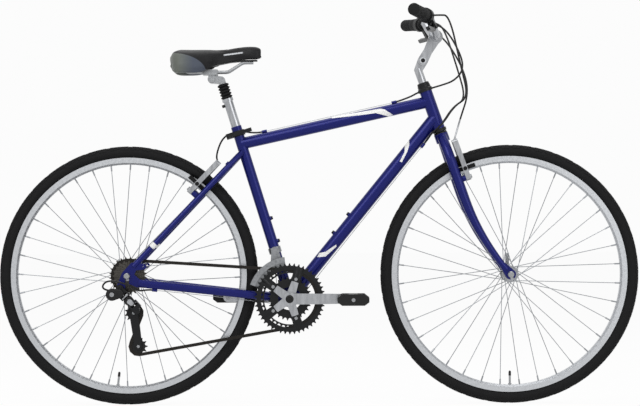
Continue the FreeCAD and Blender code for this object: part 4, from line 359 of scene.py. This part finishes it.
def hang(bm, name, body, slot, *stands_for, material=None):
    """Makes the mesh an object in its slot's finish that rides on a body, unless body is None."""
    closed_up(bm)
    mesh = bpy.data.meshes.new(name)
    bm.to_mesh(mesh)
    bm.free()
    mesh.shade_smooth()
    mesh.set_sharp_from_angle(angle=math.radians(SHARP_EDGE))
    mesh.materials.append(finishes[slot] if material is None else material)
    thing = bpy.data.objects.new(name, mesh)
    scene.collection.objects.link(thing)
    if body:
        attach(thing, body)
    if stands_for:
        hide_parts(*stands_for)
    print(name, "faces", len(mesh.polygons))
    return thing


print("edges stay crisp from", SHARP_EDGE, "degrees")

# %% [markdown]
# ## Cable housings
# A housing is a springy tube, so its line is one smooth curve: a NURBS spline on the points of the
# route. A chain of straight cylinders would be simpler, but it would show its corners.

# %% Tubes on a route
tube_radius = {"housing_plastic": 0.0025, "silver_steel": 0.0008}        # housings; pulled wires


def tube(route, radius):
    """A bmesh of a round tube on a smooth line along the route."""
    line = bpy.data.curves.new("route", "CURVE")
    line.dimensions = "3D"
    line.bevel_depth, line.bevel_resolution, line.use_fill_caps = radius, 3, True
    spline = line.splines.new("NURBS")
    spline.points.add(len(route) - 1)
    for point, place in zip(spline.points, route):
        point.co = (*place, 1)
    spline.order_u = 3
    spline.use_endpoint_u = True
    spline.resolution_u = 10
    thing = bpy.data.objects.new("route", line)
    scene.collection.objects.link(thing)
    bpy.context.view_layer.update()
    bm = bmesh.new()
    bm.from_mesh(bpy.data.meshes.new_from_object(
        thing.evaluated_get(bpy.context.evaluated_depsgraph_get())))
    bpy.data.objects.remove(thing)
    bmesh.ops.remove_doubles(bm, verts=bm.verts, dist=1e-6)
    return bm


print("tube radii", tube_radius)

# %% [markdown]
# The housings from the bar to the frame cross two joints, the stem's tilt and the steering, and a
# piece can bend over one joint only. Each is cut in two level with the fork.

# %% Housings from the bar to the frame
def half_of(bm, level, upper):
    """The part of a tube above or below a level, with its cut end closed."""
    part = bm.copy()
    bmesh.ops.bisect_plane(part, geom=part.verts[:] + part.edges[:] + part.faces[:],
                           plane_co=(0, 0, level), plane_no=(0, 0, 1),
                           clear_inner=upper, clear_outer=not upper)
    bmesh.ops.holes_fill(part, edges=[edge for edge in part.edges if edge.is_boundary])
    return part


both_sides = ((1, "left"), (-1, "right"))
# Each housing: the level at which it is cut, and its route
bar_to_frame = {
    "rear_brake_housing": (0.885, [
        (0.3190, -0.1347, 1.0135), (0.3424, -0.1144, 1.0055), (0.3853, -0.0580, 0.9365),
        (0.3913, -0.0140, 0.9005), (0.3693, 0.0200, 0.8745), (0.3348, 0.0306, 0.8628),
        (0.2768, 0.0306, 0.8468), (0.2443, 0.0, 0.8277), (0.2117, 0.0, 0.8175)]),
}
for side, word in both_sides:
    bar_to_frame[f"{word}_shift_housing"] = (0.880, [
        (0.3049, side * 0.1733, 1.0382), (0.3183, side * 0.1771, 1.0384),
        (0.3472, side * 0.1708, 1.0381), (0.3813, side * 0.0760, 0.9105),
        (0.4033, side * 0.0580, 0.8265), (0.3663, side * 0.0360, 0.8044),
        (0.3347, side * 0.0350, 0.7552), (0.3050, side * 0.0250, 0.7311),
        (0.2962, side * 0.0090, 0.7162), (0.2861, side * 0.0090, 0.7038)])
for name, (level, route) in bar_to_frame.items():
    whole = tube(route, tube_radius["housing_plastic"])
    upper = hang(half_of(whole, level, True), name + "_upper", None, "housing_plastic", "frame_cables")
    lower = hang(half_of(whole, level, False), name + "_lower", None, "housing_plastic", "frame_cables")
    whole.free()
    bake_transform(upper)
    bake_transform(lower)

# %% [markdown]
# The other housings on the frame stay on one side of the joints: the loop at the rear changer and the
# run to the rear brake. So do the bare wires, which are pulled straight between the frame's stops.

# %% Housings and wires that cross no joint
# Where each brake's wire crosses between its arms (x, z), and half of its length there
wire_at = {"front": (0.3687, 0.7087), "rear": (-0.2743, 0.6532)}
WIRE_REACH = 0.0302


def arm_wire(end):
    """The route of the wire between a brake's arms."""
    x, z = wire_at[end]
    return [(x, -WIRE_REACH, z), (x, WIRE_REACH, z)]


on_frame = {
    "rear_brake_back_housing": ("housing_plastic", [
        (-0.1536, 0.0, 0.7372), (-0.1693, 0.0, 0.7337), (-0.2137, 0.0260, 0.7406),
        (-0.2597, 0.0340, 0.7286), (-0.2823, 0.0778, 0.6752), (-0.2743, 0.0698, 0.6532),
        (-0.2743, 0.0438, 0.6532)]),
    "rear_shift_loop": ("housing_plastic", [
        (-0.4486, -0.0659, 0.3126), (-0.4584, -0.0671, 0.3137), (-0.4870, -0.0840, 0.3100),
        (-0.5150, -0.1120, 0.3320), (-0.5650, -0.1140, 0.3420), (-0.5830, -0.1020, 0.3200),
        (-0.5558, -0.0905, 0.3097), (-0.5427, -0.0905, 0.3145)]),
    "rear_brake_top_wire": ("silver_steel", [(0.1980, 0.0, 0.8145), (-0.1399, 0.0, 0.7402)]),
    "rear_brake_arm_wire": ("silver_steel", arm_wire("rear")),
    "front_shift_wire": ("silver_steel", [
        (0.2773, 0.0090, 0.6929), (-0.0221, 0.0090, 0.3248), (-0.0675, 0.0063, 0.2641),
        (-0.1055, 0.0063, 0.2661), (-0.1168, -0.0090, 0.3299), (-0.1177, -0.0235, 0.3630)]),
    "rear_shift_wire": ("silver_steel", [
        (0.2773, -0.0090, 0.6929), (-0.0221, -0.0090, 0.3248), (-0.0675, -0.0063, 0.2641),
        (-0.0975, -0.0063, 0.2641), (-0.1490, -0.0292, 0.2794), (-0.4347, -0.0642, 0.3111)]),
}
for name, (slot, route) in on_frame.items():
    hang(tube(route, tube_radius[slot]), name, "main_frame", slot, "frame_cables")

# %% [markdown]
# The front brake's housing crosses only the stem's tilt, and ends in a bent steel pipe at the brake
# arm. Two tubes would have to be matched where they meet, so one tube is made and cut in two there.

# %% Front brake housing, pipe and wire
front_level = 0.7720        # housing above this level, pipe below it
front_route = [
    (0.3188, 0.1349, 1.0136), (0.3421, 0.1146, 1.0055), (0.3933, 0.0500, 0.9165),
    (0.4113, 0.0540, 0.8445), (0.3887, 0.0778, 0.7747), (0.3727, 0.0738, 0.7187),
    (0.3687, 0.0598, 0.7087), (0.3687, 0.0438, 0.7087)]
whole = tube(front_route, tube_radius["housing_plastic"])
front_housing = hang(half_of(whole, front_level, True), "front_brake_housing", None, "housing_plastic",
                     "front_brake_cable")
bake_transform(front_housing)
hang(half_of(whole, front_level, False), "front_brake_pipe", "fork_assembly", "silver_steel",
     "front_brake_cable")
whole.free()
hang(tube(arm_wire("front"), tube_radius["silver_steel"]), "front_brake_wire", "fork_assembly",
     "silver_steel", "front_brake_cable")

# %% [markdown]
# ## Places on the bike
# Many new pieces sit where the real ones turn. These places could be measured again, but the frame's
# joints already state them, so they are read from there, to a hundredth of a millimetre.

# %% Places of the joints
pivot = {joint["name"]: Vector([round(number, 5) for number in joint["pos_m"]])
         for joint in frame["joints"] if joint.get("pos_m")}
print("places", len(pivot))

# %% [markdown]
# ## Tyres
# A hybrid tyre is a round casing with small blocks: a tight row at the middle and larger ones on the
# shoulders. A bump pattern would not show in the outline. So the section is spun round the axle, and
# the faces that are blocks are inset and raised, which leaves real grooves between them.

# %% Tyre section and blocks
TREAD_STEPS = 216
SHOULDER, ROW_WIDTH = 0.3400, 0.0035        # blocks start at this radius, in rows of this width
# Half of the section as (radius, y), from the bead to the middle of the tread
half_section = [
    (0.3125, 0.0060), (0.3125, 0.0096), (0.3200, 0.0098), (0.3222, 0.0140), (0.3262, 0.0176),
    (0.3310, 0.0190), (0.3358, 0.0183), (0.3398, 0.0163), (0.3432, 0.0132), (0.3460, 0.0095),
    (0.3476, 0.0055), (0.3482, 0.0020)]
section = half_section + [(radius, -y) for radius, y in reversed(half_section)]


def is_block(away):
    """Does a face, by its centre from the axle, carry a block?"""
    if math.hypot(away.x, away.z) < SHOULDER:
        return False
    step = int((math.atan2(away.z, away.x) / math.tau + 1) * TREAD_STEPS)
    row = round(abs(away.y) / ROW_WIDTH)
    return step % 2 == 0 if row == 0 else (step + row) % 3 != 0


print("points in the section", len(section))

# %% [markdown]
# Both tyres are the same, so one loop makes them. Each block is drawn in by half a groove before it
# rises.

# %% Tyres
HALF_GROOVE, BLOCK_HEIGHT = 0.0007, 0.0013
for end in ("front", "rear"):
    centre = pivot[end + "_wheel_spin"]
    bm = bmesh.new()
    ring = [bm.verts.new(centre + Vector((radius, y, 0))) for radius, y in section]
    edges = [bm.edges.new(pair) for pair in zip(ring, ring[1:] + ring[:1])]
    bmesh.ops.spin(bm, geom=ring + edges, cent=centre, axis=(0, 1, 0), angle=math.tau,
                   steps=TREAD_STEPS, use_merge=True)
    closed_up(bm)
    blocks = [face for face in bm.faces if is_block(face.calc_center_median() - centre)]
    bmesh.ops.inset_individual(bm, faces=blocks, thickness=HALF_GROOVE, depth=BLOCK_HEIGHT)
    hang(bm, end + "_tyre_tread", end + "_wheel", "tyre_rubber", end + "_tyre")
    print(end, "tread blocks", len(blocks))

# %% [markdown]
# The valves belong to the tubes inside the tyres, so they are made anew with them: a plated stem with
# a ring at the rim, and a plastic cap. Both are round, so both are spun.

# %% Valves
VALVE_FOOT = 0.3115        # the radius at which a valve starts, inside the tyre
for end, turn in (("front", 270), ("rear", 264)):
    inward = -Vector((math.cos(math.radians(turn)), 0, math.sin(math.radians(turn))))
    foot = pivot[end + "_wheel_spin"] - inward * VALVE_FOOT
    bm = bmesh.new()
    lathe(bm, [(0, 0), (0, 0.003), (0.0125, 0.003), (0.0128, 0.0048), (0.0150, 0.0048),
               (0.0153, 0.0029), (0.036, 0.0029), (0.036, 0)], foot, inward)
    hang(bm, end + "_valve_stem", end + "_wheel", "silver_steel", end + "_tyre")
    bm = bmesh.new()
    lathe(bm, [(0.0362, 0), (0.0362, 0.0036), (0.046, 0.0034), (0.049, 0.0022), (0.0495, 0)],
          foot, inward, 12)
    hang(bm, end + "_valve_cap", end + "_wheel", "black_plastic", end + "_tyre")

# %% [markdown]
# ## Chainrings with open backs
# A pressed chainring is a thin toothed band held by five tabs, one at each spider arm, so daylight
# shows between the rings. The CAD rings are full plates. New teeth might not fit the chain, so a copy
# keeps the old ones, and windows are punched out of the two larger rings. The punches come first:
# each is a sector between two tabs, extruded.

# %% Punches for the windows
ARMS = 5
crank_centre = pivot["crank_spin"]
WINDOW_INNER = 0.040
# Each ring's window: its outer radius, and the y where its punch starts and ends
windows = ((0.0770, -0.0575, -0.0525), (0.0690, -0.0510, -0.0455))
# The sector's corners, in degrees from its middle
INNER_TURNS, OUTER_TURNS = (-20, -10, 0, 10, 20), (26, 20, 13, 6, 0, -6, -13, -20, -26)
punch = bmesh.new()
for outer, near, far in windows:
    for number in range(ARMS):
        middle = 360 / ARMS * (number + 0.5)
        ring = [(WINDOW_INNER, middle + turn) for turn in INNER_TURNS]
        ring += [(outer, middle + turn) for turn in OUTER_TURNS]
        corners = [punch.verts.new(crank_centre + Vector((radius * math.cos(math.radians(turn)), near,
                                                          radius * math.sin(math.radians(turn)))))
                   for radius, turn in ring]
        grown = bmesh.ops.extrude_face_region(punch, geom=[punch.faces.new(corners)])
        bmesh.ops.translate(punch, vec=(0, far - near, 0), verts=[
            part for part in grown["geom"] if isinstance(part, bmesh.types.BMVert)])
closed_up(punch)
print("punch faces", len(punch.faces))

# %% [markdown]
# A Boolean modifier then takes all the punches out of the copy at once. Its exact solver is slower
# than the fast one, but leaves clean edges.

# %% Open chainrings
punch_mesh = bpy.data.meshes.new("punch")
punch.to_mesh(punch_mesh)
punch.free()
cutter = bpy.data.objects.new("punch", punch_mesh)
plates = bpy.data.objects.new("plates", frame["nodes"]["chainrings"].data.copy())
scene.collection.objects.link(cutter)
scene.collection.objects.link(plates)
cut = plates.modifiers.new("punched", "BOOLEAN")
cut.object, cut.operation, cut.solver = cutter, "DIFFERENCE", "EXACT"
open_rings = bmesh.new()
open_rings.from_mesh(bpy.data.meshes.new_from_object(
    plates.evaluated_get(bpy.context.evaluated_depsgraph_get())))
bpy.data.objects.remove(plates)
bpy.data.objects.remove(cutter)
hang(open_rings, "open_chainrings", "crankset", slot_of["chainrings"], "chainrings")

# %% [markdown]
# ## Grips and twist grips
# The grips are moulded sleeves with rings for the hand. Rings could be a bump pattern, but they show
# in the outline, so they are part of the outline that is spun.

# %% Ribbed grip
GRIP_RADIUS, GROOVE_RADIUS, GRIP_BORE = 0.0162, 0.0149, 0.0113
rings = []
for at in range(9, 64, 6):
    start = at / 1000
    rings += [(start, GRIP_RADIUS), (start + 0.0006, GROOVE_RADIUS), (start + 0.0022, GROOVE_RADIUS),
              (start + 0.0028, GRIP_RADIUS)]


def ribbed_grip(tip, inward):
    """A bmesh of a grip from the bar's end inwards."""
    bm = bmesh.new()
    lathe(bm, [(-0.003, 0), (-0.003, 0.0128), (-0.0018, 0.0152), (0.001, 0.0163)] + rings + [
        (0.069, GRIP_RADIUS), (0.0715, 0.0150), (0.0718, GRIP_BORE), (-0.0003, GRIP_BORE),
        (-0.0003, 0)], tip, inward, 32)
    return bm


print("grooves on a grip", len(rings) // 4)

# %% [markdown]
# The twist grips beside them have ridges along their length, so that a wet glove can turn them. They
# are spun too. The ridges are every other strip of faces, inset and raised.

# %% Grips on the bar
TWIST_STEPS, TWIST_RADIUS = 48, 0.0161


def ridged_twist(tip, inward):
    """A bmesh of a twist grip, at its distance from the bar's end."""
    bm = bmesh.new()
    lathe(bm, [(0.0728, GRIP_BORE), (0.0728, 0.0150), (0.0745, TWIST_RADIUS), (0.0785, TWIST_RADIUS),
               (0.1185, TWIST_RADIUS), (0.1225, TWIST_RADIUS), (0.1243, 0.0150), (0.1243, GRIP_BORE)],
          tip, inward, TWIST_STEPS, closed=True)
    closed_up(bm)
    across = inward.orthogonal().normalized()
    upward = inward.cross(across)
    ridges = []
    for face in bm.faces:
        away = face.calc_center_median() - tip
        strip = int((math.atan2(away.dot(upward), away.dot(across)) / math.tau + 1) * TWIST_STEPS)
        # The long strips lie between 78.5 and 118.5 mm from the bar's end, on the outside
        outside = math.hypot(away.dot(upward), away.dot(across)) > 0.0155
        if outside and 0.08 < away.dot(inward) < 0.117 and strip % 2 == 0:
            ridges.append(face)
    bmesh.ops.inset_individual(bm, faces=ridges, thickness=0.0004, depth=0.0007)
    return bm


for side, word in both_sides:
    tip = Vector((0.24811, side * 0.298, 1.04490))
    inward = Vector((0.27436, -side * 0.96025, -0.05144))
    hang(ribbed_grip(tip, inward), word + "_ribbed_grip", "handlebar_assembly", "black_rubber", "grips")
    hang(ridged_twist(tip, inward), word + "_ridged_twist", "twist_" + word, "black_rubber",
         word + "_twist_grip")

# %% [markdown]
# ## The seatpost's bellows
# A rubber boot keeps dirt off the sliding part of the suspension post. It is a tube of five folds
# with a thin wall, open at both ends, and it folds together as the post sinks. The outline goes up
# the outside and down the inside.

# %% Bellows boot
FOLDS, PITCH = 5, 0.00824
NECK, CREST, WALL = 0.0117, 0.0157, 0.0013
seat_up = Vector((-0.2957, 0, 0.9553))        # the seat tube's direction
boot_foot = crank_centre + seat_up * 0.5663
outside = []
for fold in range(FOLDS):
    start = fold * PITCH
    outside += [(start, NECK), (start + 0.0028, CREST), (start + 0.0054, CREST)]
outside.append((FOLDS * PITCH, NECK))
inside = [(far, radius - WALL) for far, radius in reversed(outside)]
bm = bmesh.new()
lathe(bm, outside + inside, boot_foot, seat_up, 32, closed=True)
boot = hang(bm, "seatpost_bellows", "post", "black_rubber", "seatpost_boot")
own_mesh(boot)

# %% [markdown]
# ## The padded saddle
# A saddle is foam under a stretched cover. It could be sculpted, but cloth that is filled with air
# swells to soft curves by itself. The CAD solid gives the outline. It gets even faces first, and is
# drawn in a little, because it will swell.

# %% Saddle skin before it swells
EVEN_FACE, DRAWN_IN = 0.004, 0.0012
bm = bmesh.new()
bm.from_mesh(frame["nodes"]["saddle_cover"].data)
bmesh.ops.remove_doubles(bm, verts=bm.verts, dist=1e-5)
mesh = bpy.data.meshes.new("saddle_cushion")
bm.to_mesh(mesh)
bm.free()
cushion = bpy.data.objects.new("saddle_cushion", mesh)
scene.collection.objects.link(cushion)
remesh = cushion.modifiers.new("even_faces", "REMESH")
remesh.mode, remesh.voxel_size = "VOXEL", EVEN_FACE
even = bpy.data.meshes.new_from_object(cushion.evaluated_get(bpy.context.evaluated_depsgraph_get()))
cushion.modifiers.clear()
facing = [vertex.normal.copy() for vertex in even.vertices]
for vertex, normal in zip(even.vertices, facing):
    vertex.co -= normal * DRAWN_IN
cushion.data = even
rest = [vertex.co.copy() for vertex in even.vertices]
print("saddle skin points", len(rest))

# %% [markdown]
# Now the skin is blown up for twenty frames. Faces that look down rest on the shell, so they keep
# their place, and no point moves more than 3 mm.

# %% Padded saddle
SWELL, BLOWN_FRAMES, PRESSURE = 0.003, 20, 4.0
LOOKS_DOWN = -0.3        # faces whose normal points lower than this rest on the shell
padding = cushion.modifiers.new("padding", "CLOTH")
padding.settings.use_pressure = True
padding.settings.uniform_pressure_force = PRESSURE
padding.settings.effector_weights.gravity = 0.0
for number in range(1, BLOWN_FRAMES + 1):
    scene.frame_set(number)
swollen = bpy.data.meshes.new_from_object(
    cushion.evaluated_get(bpy.context.evaluated_depsgraph_get()))
cushion.modifiers.clear()
scene.frame_set(1)
for vertex, start, normal, full in zip(even.vertices, rest, facing, swollen.vertices):
    move = full.co - start
    limit = SWELL if normal.z > LOOKS_DOWN else 0.0
    vertex.co = start + move * min(1.0, limit / max(move.length, 1e-9))
bpy.data.meshes.remove(swollen)
even.shade_smooth()
even.materials.clear()
even.materials.append(finishes["saddle_vinyl"])
rounding = cushion.modifiers.new("rounding", "SUBSURF")
rounding.levels = rounding.render_levels = 1
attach(cushion, "saddle")
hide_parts("saddle_cover")
print("saddle cushion points", len(even.vertices))

# %% [markdown]
# ## Bolts and caps
# Small fixings make a bicycle read as real: chainring bolts, dust caps on the cranks, the stem's
# pivot bolt, brake pivot bolts and bottle screws. Each is a spun head with a key socket, and they
# are made together where they share a body and a finish.

# %% Bolts on the cranks
def bolt(bm, seat, axis, radius, height):
    """A round head with a socket, standing on a seat."""
    lathe(bm, [(-0.0003, 0), (-0.0003, radius), (height * 0.7, radius), (height, radius * 0.86),
               (height, radius * 0.5), (height * 0.45, radius * 0.46), (height * 0.45, 0)], seat, axis, 20)


BOLT_CIRCLE, RING_FACE, CRANK_FACE = 0.055, -0.05565, 0.076
bm = bmesh.new()
for number in range(ARMS):
    turn = math.radians(360 / ARMS * number)
    seat = crank_centre + Vector((BOLT_CIRCLE * math.cos(turn), RING_FACE, BOLT_CIRCLE * math.sin(turn)))
    bolt(bm, seat, (0, -1, 0), 0.0048, 0.0026)
hang(bm, "chainring_bolts", "crankset", "silver_steel")
bm = bmesh.new()
for side, _ in both_sides:
    bolt(bm, crank_centre + Vector((0, side * CRANK_FACE, 0)), (0, side, 0), 0.011, 0.0022)
hang(bm, "crank_dust_caps", "crankset", "black_plastic")

# %% [markdown]
# The stem's pivot shows a dark socket on each side, and a bright washer as a pale ring round it. The
# brake arms turn on bolts that stand as the bosses of the fork and the stays do.

# %% Stem and brake bolts
STEM_FACE, ARM_FACE = 0.0203, 0.0065        # from the pivot to the face under the bolt's head
sockets, washers = bmesh.new(), bmesh.new()
for side, _ in both_sides:
    seat = pivot["stem_tilt"] + Vector((0, side * STEM_FACE, 0))
    bolt(sockets, seat, (0, side, 0), 0.0058, 0.0014)
    lathe(washers, [(0, 0.0060), (0, 0.0094), (0.0007, 0.0090), (0.0009, 0.0060)], seat, (0, side, 0),
          28, closed=True)
hang(sockets, "stem_pivot_sockets", "fork_assembly", "black_metal")
hang(washers, "stem_pivot_washers", "fork_assembly", "rim_alloy")
for end, axis in (("front", Vector((0.9444, 0, 0.3289))), ("rear", Vector((-0.7249, 0, 0.6888)))):
    for _, word in both_sides:
        bm = bmesh.new()
        bolt(bm, pivot[f"{end}_{word}_brake_close"] + axis * ARM_FACE, axis, 0.0056, 0.0040)
        hang(bm, f"{end}_{word}_brake_bolt", f"{end}_brake_{word}", "silver_steel")

# %% [markdown]
# The bottle screws stand on their bosses, whose holes are mounts of the part. The hanger bolt, the
# post's preload screw and the jockey wheels' bolts complete the set.

# %% Screws on the frame, the post and the changer
BOSS_HEIGHT = 0.004
bm = bmesh.new()
for mount in frame["record"]["mounts"]:
    if "bottle_boss" in mount["name"]:
        axis = Vector(mount["axis"])
        bolt(bm, Vector(mount["pos_m"]) + axis * BOSS_HEIGHT, axis, 0.0048, 0.0042)
hang(bm, "bottle_screws", "main_frame", "black_metal")
hanger_face = (-0.533, -0.0995, 0.318)
bm = bmesh.new()
bolt(bm, hanger_face, (0, -1, 0), 0.0062, 0.0030)
hang(bm, "hanger_bolt", "main_frame", "black_metal")
seat_front = Vector((0.9553, 0, 0.2957))        # square to the seat tube, forwards
bm = bmesh.new()
bolt(bm, crank_centre + seat_up * 0.549 - seat_front * 0.0127, -seat_front, 0.0042, 0.0070)
hang(bm, "seatpost_preload_screw", "post", "black_metal")
cage_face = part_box("rear_derailleur_cage")[0][1]
bm = bmesh.new()
for wheel in (pivot["upper_jockey_spin"], pivot["lower_jockey_spin"]):
    bolt(bm, (wheel.x, cage_face, wheel.z), (0, -1, 0), 0.0042, 0.0022)
hang(bm, "jockey_bolts", "rear_changer_cage", "silver_steel")

# %% [markdown]
# ## The rear changer's covers
# The mounting knuckle sits in a rounded black shell, into which the housing runs, and the outer link
# carries a wide cover with a bright plate. All are plates with the outline of a belt round two discs.
# A convex skin over two short cylinders gives that outline, and a bevel rounds the rim that shows.

# %% Shell of the rear changer
def belt_plate(discs, depth, rim, place):
    """A plate round two discs (x, y, radius), rounded at its far rim; place is a matrix."""
    bm = bmesh.new()
    for x, y, radius in discs:
        bmesh.ops.create_cone(bm, cap_ends=False, segments=36, radius1=radius, radius2=radius,
                              depth=depth, matrix=Matrix.Translation((x, y, depth / 2)))
    bmesh.ops.delete(bm, geom=bm.edges[:], context="EDGES_FACES")
    wrap = bmesh.ops.convex_hull(bm, input=bm.verts)
    spare = {part for part in wrap["geom_interior"] + wrap["geom_unused"]
             if isinstance(part, bmesh.types.BMVert)}
    bmesh.ops.delete(bm, geom=list(spare), context="VERTS")
    bmesh.ops.dissolve_limit(bm, angle_limit=math.radians(1), verts=bm.verts, edges=bm.edges)
    far_rim = [edge for edge in bm.edges if all(corner.co.z > depth * 0.99 for corner in edge.verts)]
    bmesh.ops.bevel(bm, geom=far_rim, offset=rim, segments=4, profile=0.5, affect="EDGES", material=-1)
    bmesh.ops.transform(bm, matrix=place, verts=bm.verts)
    return bm


def facing_place(origin, along, across):
    """The matrix of a plate that lies along and across, and faces along x across."""
    along, across = Vector(along).normalized(), Vector(across).normalized()
    place = Matrix((along, across, along.cross(across))).transposed().to_4x4()
    place.translation = origin
    return place


SHELL_BACK, SHELL_DEPTH = -0.0990, 0.0115
shell_x, shell_z = -0.5530, 0.3020
outwards = facing_place((0, SHELL_BACK, 0), (1, 0, 0), (0, 0, 1))
hang(belt_plate([(shell_x, shell_z, 0.0165), (-0.5340, 0.3040, 0.0120)], SHELL_DEPTH, 0.0035, outwards),
     "rear_changer_shell", "main_frame", "black_plastic")
bm = bmesh.new()
bolt(bm, (shell_x, SHELL_BACK - SHELL_DEPTH, shell_z), (0, -1, 0), 0.0060, 0.0020)
hang(bm, "rear_changer_shell_bolt", "main_frame", "silver_steel")

# %% [markdown]
# The link runs from its upper pin inwards and down to its lower pin, and swings about the line of its
# pins. Its cover and plate are laid out along it, one above the other.

# %% Covers on the outer link
COVER_RISE, PLATE_RISE = 0.0066, 0.0107
upper_pin, lower_pin = pivot["rear_changer_outer_link_swing"], pivot["rear_changer_arm_swing"]
pin_line = (0.74597, 0, 0.66598)
on_link = facing_place(upper_pin, lower_pin - upper_pin, pin_line)
hang(belt_plate([(0.0115, 0, 0.0130), (0.0260, 0, 0.0115)], 0.0044, 0.0024,
                on_link @ Matrix.Translation((0, 0, COVER_RISE))),
     "rear_changer_link_cover", "rear_changer_outer_link", "black_plastic")
hang(belt_plate([(0.0130, 0, 0.0072), (0.0255, 0, 0.0060)], 0.0012, 0.0005,
                on_link @ Matrix.Translation((0, 0, PLATE_RISE))),
     "rear_changer_link_plate", "rear_changer_outer_link", "polished_alloy")

# %% [markdown]
# Where the brake wires cross between the arms, a small rubber bellows keeps water out of the pipe. It
# is spun like the boot on the seatpost.

# %% Wire bellows
BELLOWS_START, BELLOWS_LENGTH, BELLOWS_BORE = -0.005, 0.024, 0.0009
folds = [point for at in range(0, 24, 6)
         for point in ((at / 1000, 0.0026), (at / 1000 + 0.003, 0.0040))]
ends = [(BELLOWS_LENGTH, 0.0024), (BELLOWS_LENGTH, BELLOWS_BORE)]
for end, body in (("front", "fork_assembly"), ("rear", "main_frame")):
    x, z = wire_at[end]
    bm = bmesh.new()
    lathe(bm, [(0, BELLOWS_BORE)] + folds + ends, (x, BELLOWS_START, z), (0, 1, 0), 16, closed=True)
    hang(bm, end + "_wire_bellows", body, "black_rubber")

# %% [markdown]
# ## Stripes
# White flashes run along the top tube and the down tube on both sides, and a band round each seatstay.
# They are thin film on round tubes, so each starts as a shell just outside the tube. Planes that run
# across the bike then cut the shell to the flash's outline as it looks from the side.

# %% Stripe film
# Cast vinyl film, cut and laid on the paint: bright and a little glossy
stripe_film = finish("white_film", "#f3f3f1", "#e6e6e4", 0.0, (0.22, 0.32), 8.0)
TUBE_SHELL_LENGTH, TUBE_SHELL_MIDDLE = 0.7, 0.3        # its length, and its middle from the tube's foot


def flash_on(bm, foot, along, radius, outline):
    """Adds the part of a tube's shell that looks like the (x, z) outline from the side."""
    shell = bmesh.new()
    foot, along = Vector(foot), Vector(along).normalized()
    turn = along.to_track_quat("Z", "Y").to_matrix().to_4x4()
    turn.translation = foot + along * TUBE_SHELL_MIDDLE
    bmesh.ops.create_cone(shell, cap_ends=False, segments=64, radius1=radius, radius2=radius,
                          depth=TUBE_SHELL_LENGTH, matrix=turn)
    middle = sum((Vector((x, 0, z)) for x, z in outline), Vector()) / len(outline)
    for (x, z), (next_x, next_z) in zip(outline, outline[1:] + outline[:1]):
        corner = Vector((x, 0, z))
        away = Vector((next_z - z, 0, x - next_x))
        if away.dot(corner - middle) < 0:
            away.negate()
        bmesh.ops.bisect_plane(shell, geom=shell.verts[:] + shell.edges[:] + shell.faces[:],
                               plane_co=corner, plane_no=away, clear_outer=True)
    part = bpy.data.meshes.new("flash")
    shell.to_mesh(part)
    shell.free()
    bm.from_mesh(part)
    bpy.data.meshes.remove(part)


print("film material", stripe_film.name)

# %% [markdown]
# Planes can cut only convex shapes, and a flash with a bend is not convex. So each flash is a row of
# convex parts that share edges. Merging doubles joins them, and then the film gets its thickness.

# %% Stripes on the tubes
FILM_THICKNESS = 0.0001
# Each tube: its foot, its direction, and a radius just outside the paint
top_tube = ((-0.20905, 0, 0.70541), (0.9767, 0, 0.2147), 0.01605)
down_tube = (crank_centre, (0.6310, 0, 0.7758), 0.01765)
seatstay = {word: ((-0.498, side * 0.0705, 0.376), (0.6888, -side * 0.0861, 0.7249), 0.0083)
            for side, word in both_sides}
band = [(-0.4582, 0.4354), (-0.4485, 0.4455), (-0.4311, 0.4289), (-0.4408, 0.4188)]
stripes = {
    "left_seatstay_band": (seatstay["left"], [band]), "right_seatstay_band": (seatstay["right"], [band]),
    "top_tube_stripe": (top_tube, [
        [(0.0359, 0.7731), (0.1183, 0.7816), (0.1183, 0.7906), (0.0359, 0.7771)],
        [(0.1183, 0.7816), (0.1546, 0.7864), (0.1546, 0.7965), (0.1183, 0.7906)],
        [(0.1546, 0.7864), (0.1738, 0.7814), (0.1787, 0.7960), (0.1668, 0.7985), (0.1546, 0.7965)],
        [(0.1738, 0.7814), (0.1909, 0.7770), (0.2017, 0.7813), (0.1787, 0.7960)]]),
    "down_tube_upper_stripe": (down_tube, [
        [(0.2440, 0.7170), (0.2454, 0.7001), (0.2321, 0.6809), (0.2332, 0.7074)],
        [(0.2454, 0.7001), (0.2391, 0.6809), (0.2248, 0.6530), (0.2188, 0.6555), (0.2321, 0.6809)]]),
    "down_tube_lower_stripe": (down_tube, [
        [(0.0007, 0.4089), (0.0173, 0.4118), (0.0173, 0.3993), (-0.0055, 0.3975)],
        [(0.0173, 0.4118), (0.0319, 0.4223), (0.0359, 0.4160), (0.0173, 0.3993)],
        [(0.0319, 0.4223), (0.0465, 0.4314), (0.0473, 0.4263), (0.0359, 0.4160)]]),
}
for name, ((foot, along, radius), outlines) in stripes.items():
    bm = bmesh.new()
    for outline in outlines:
        flash_on(bm, foot, along, radius, outline)
    closed_up(bm)
    bmesh.ops.solidify(bm, geom=bm.faces[:], thickness=FILM_THICKNESS)
    hang(bm, name, "main_frame", "frame_paint", material=stripe_film)
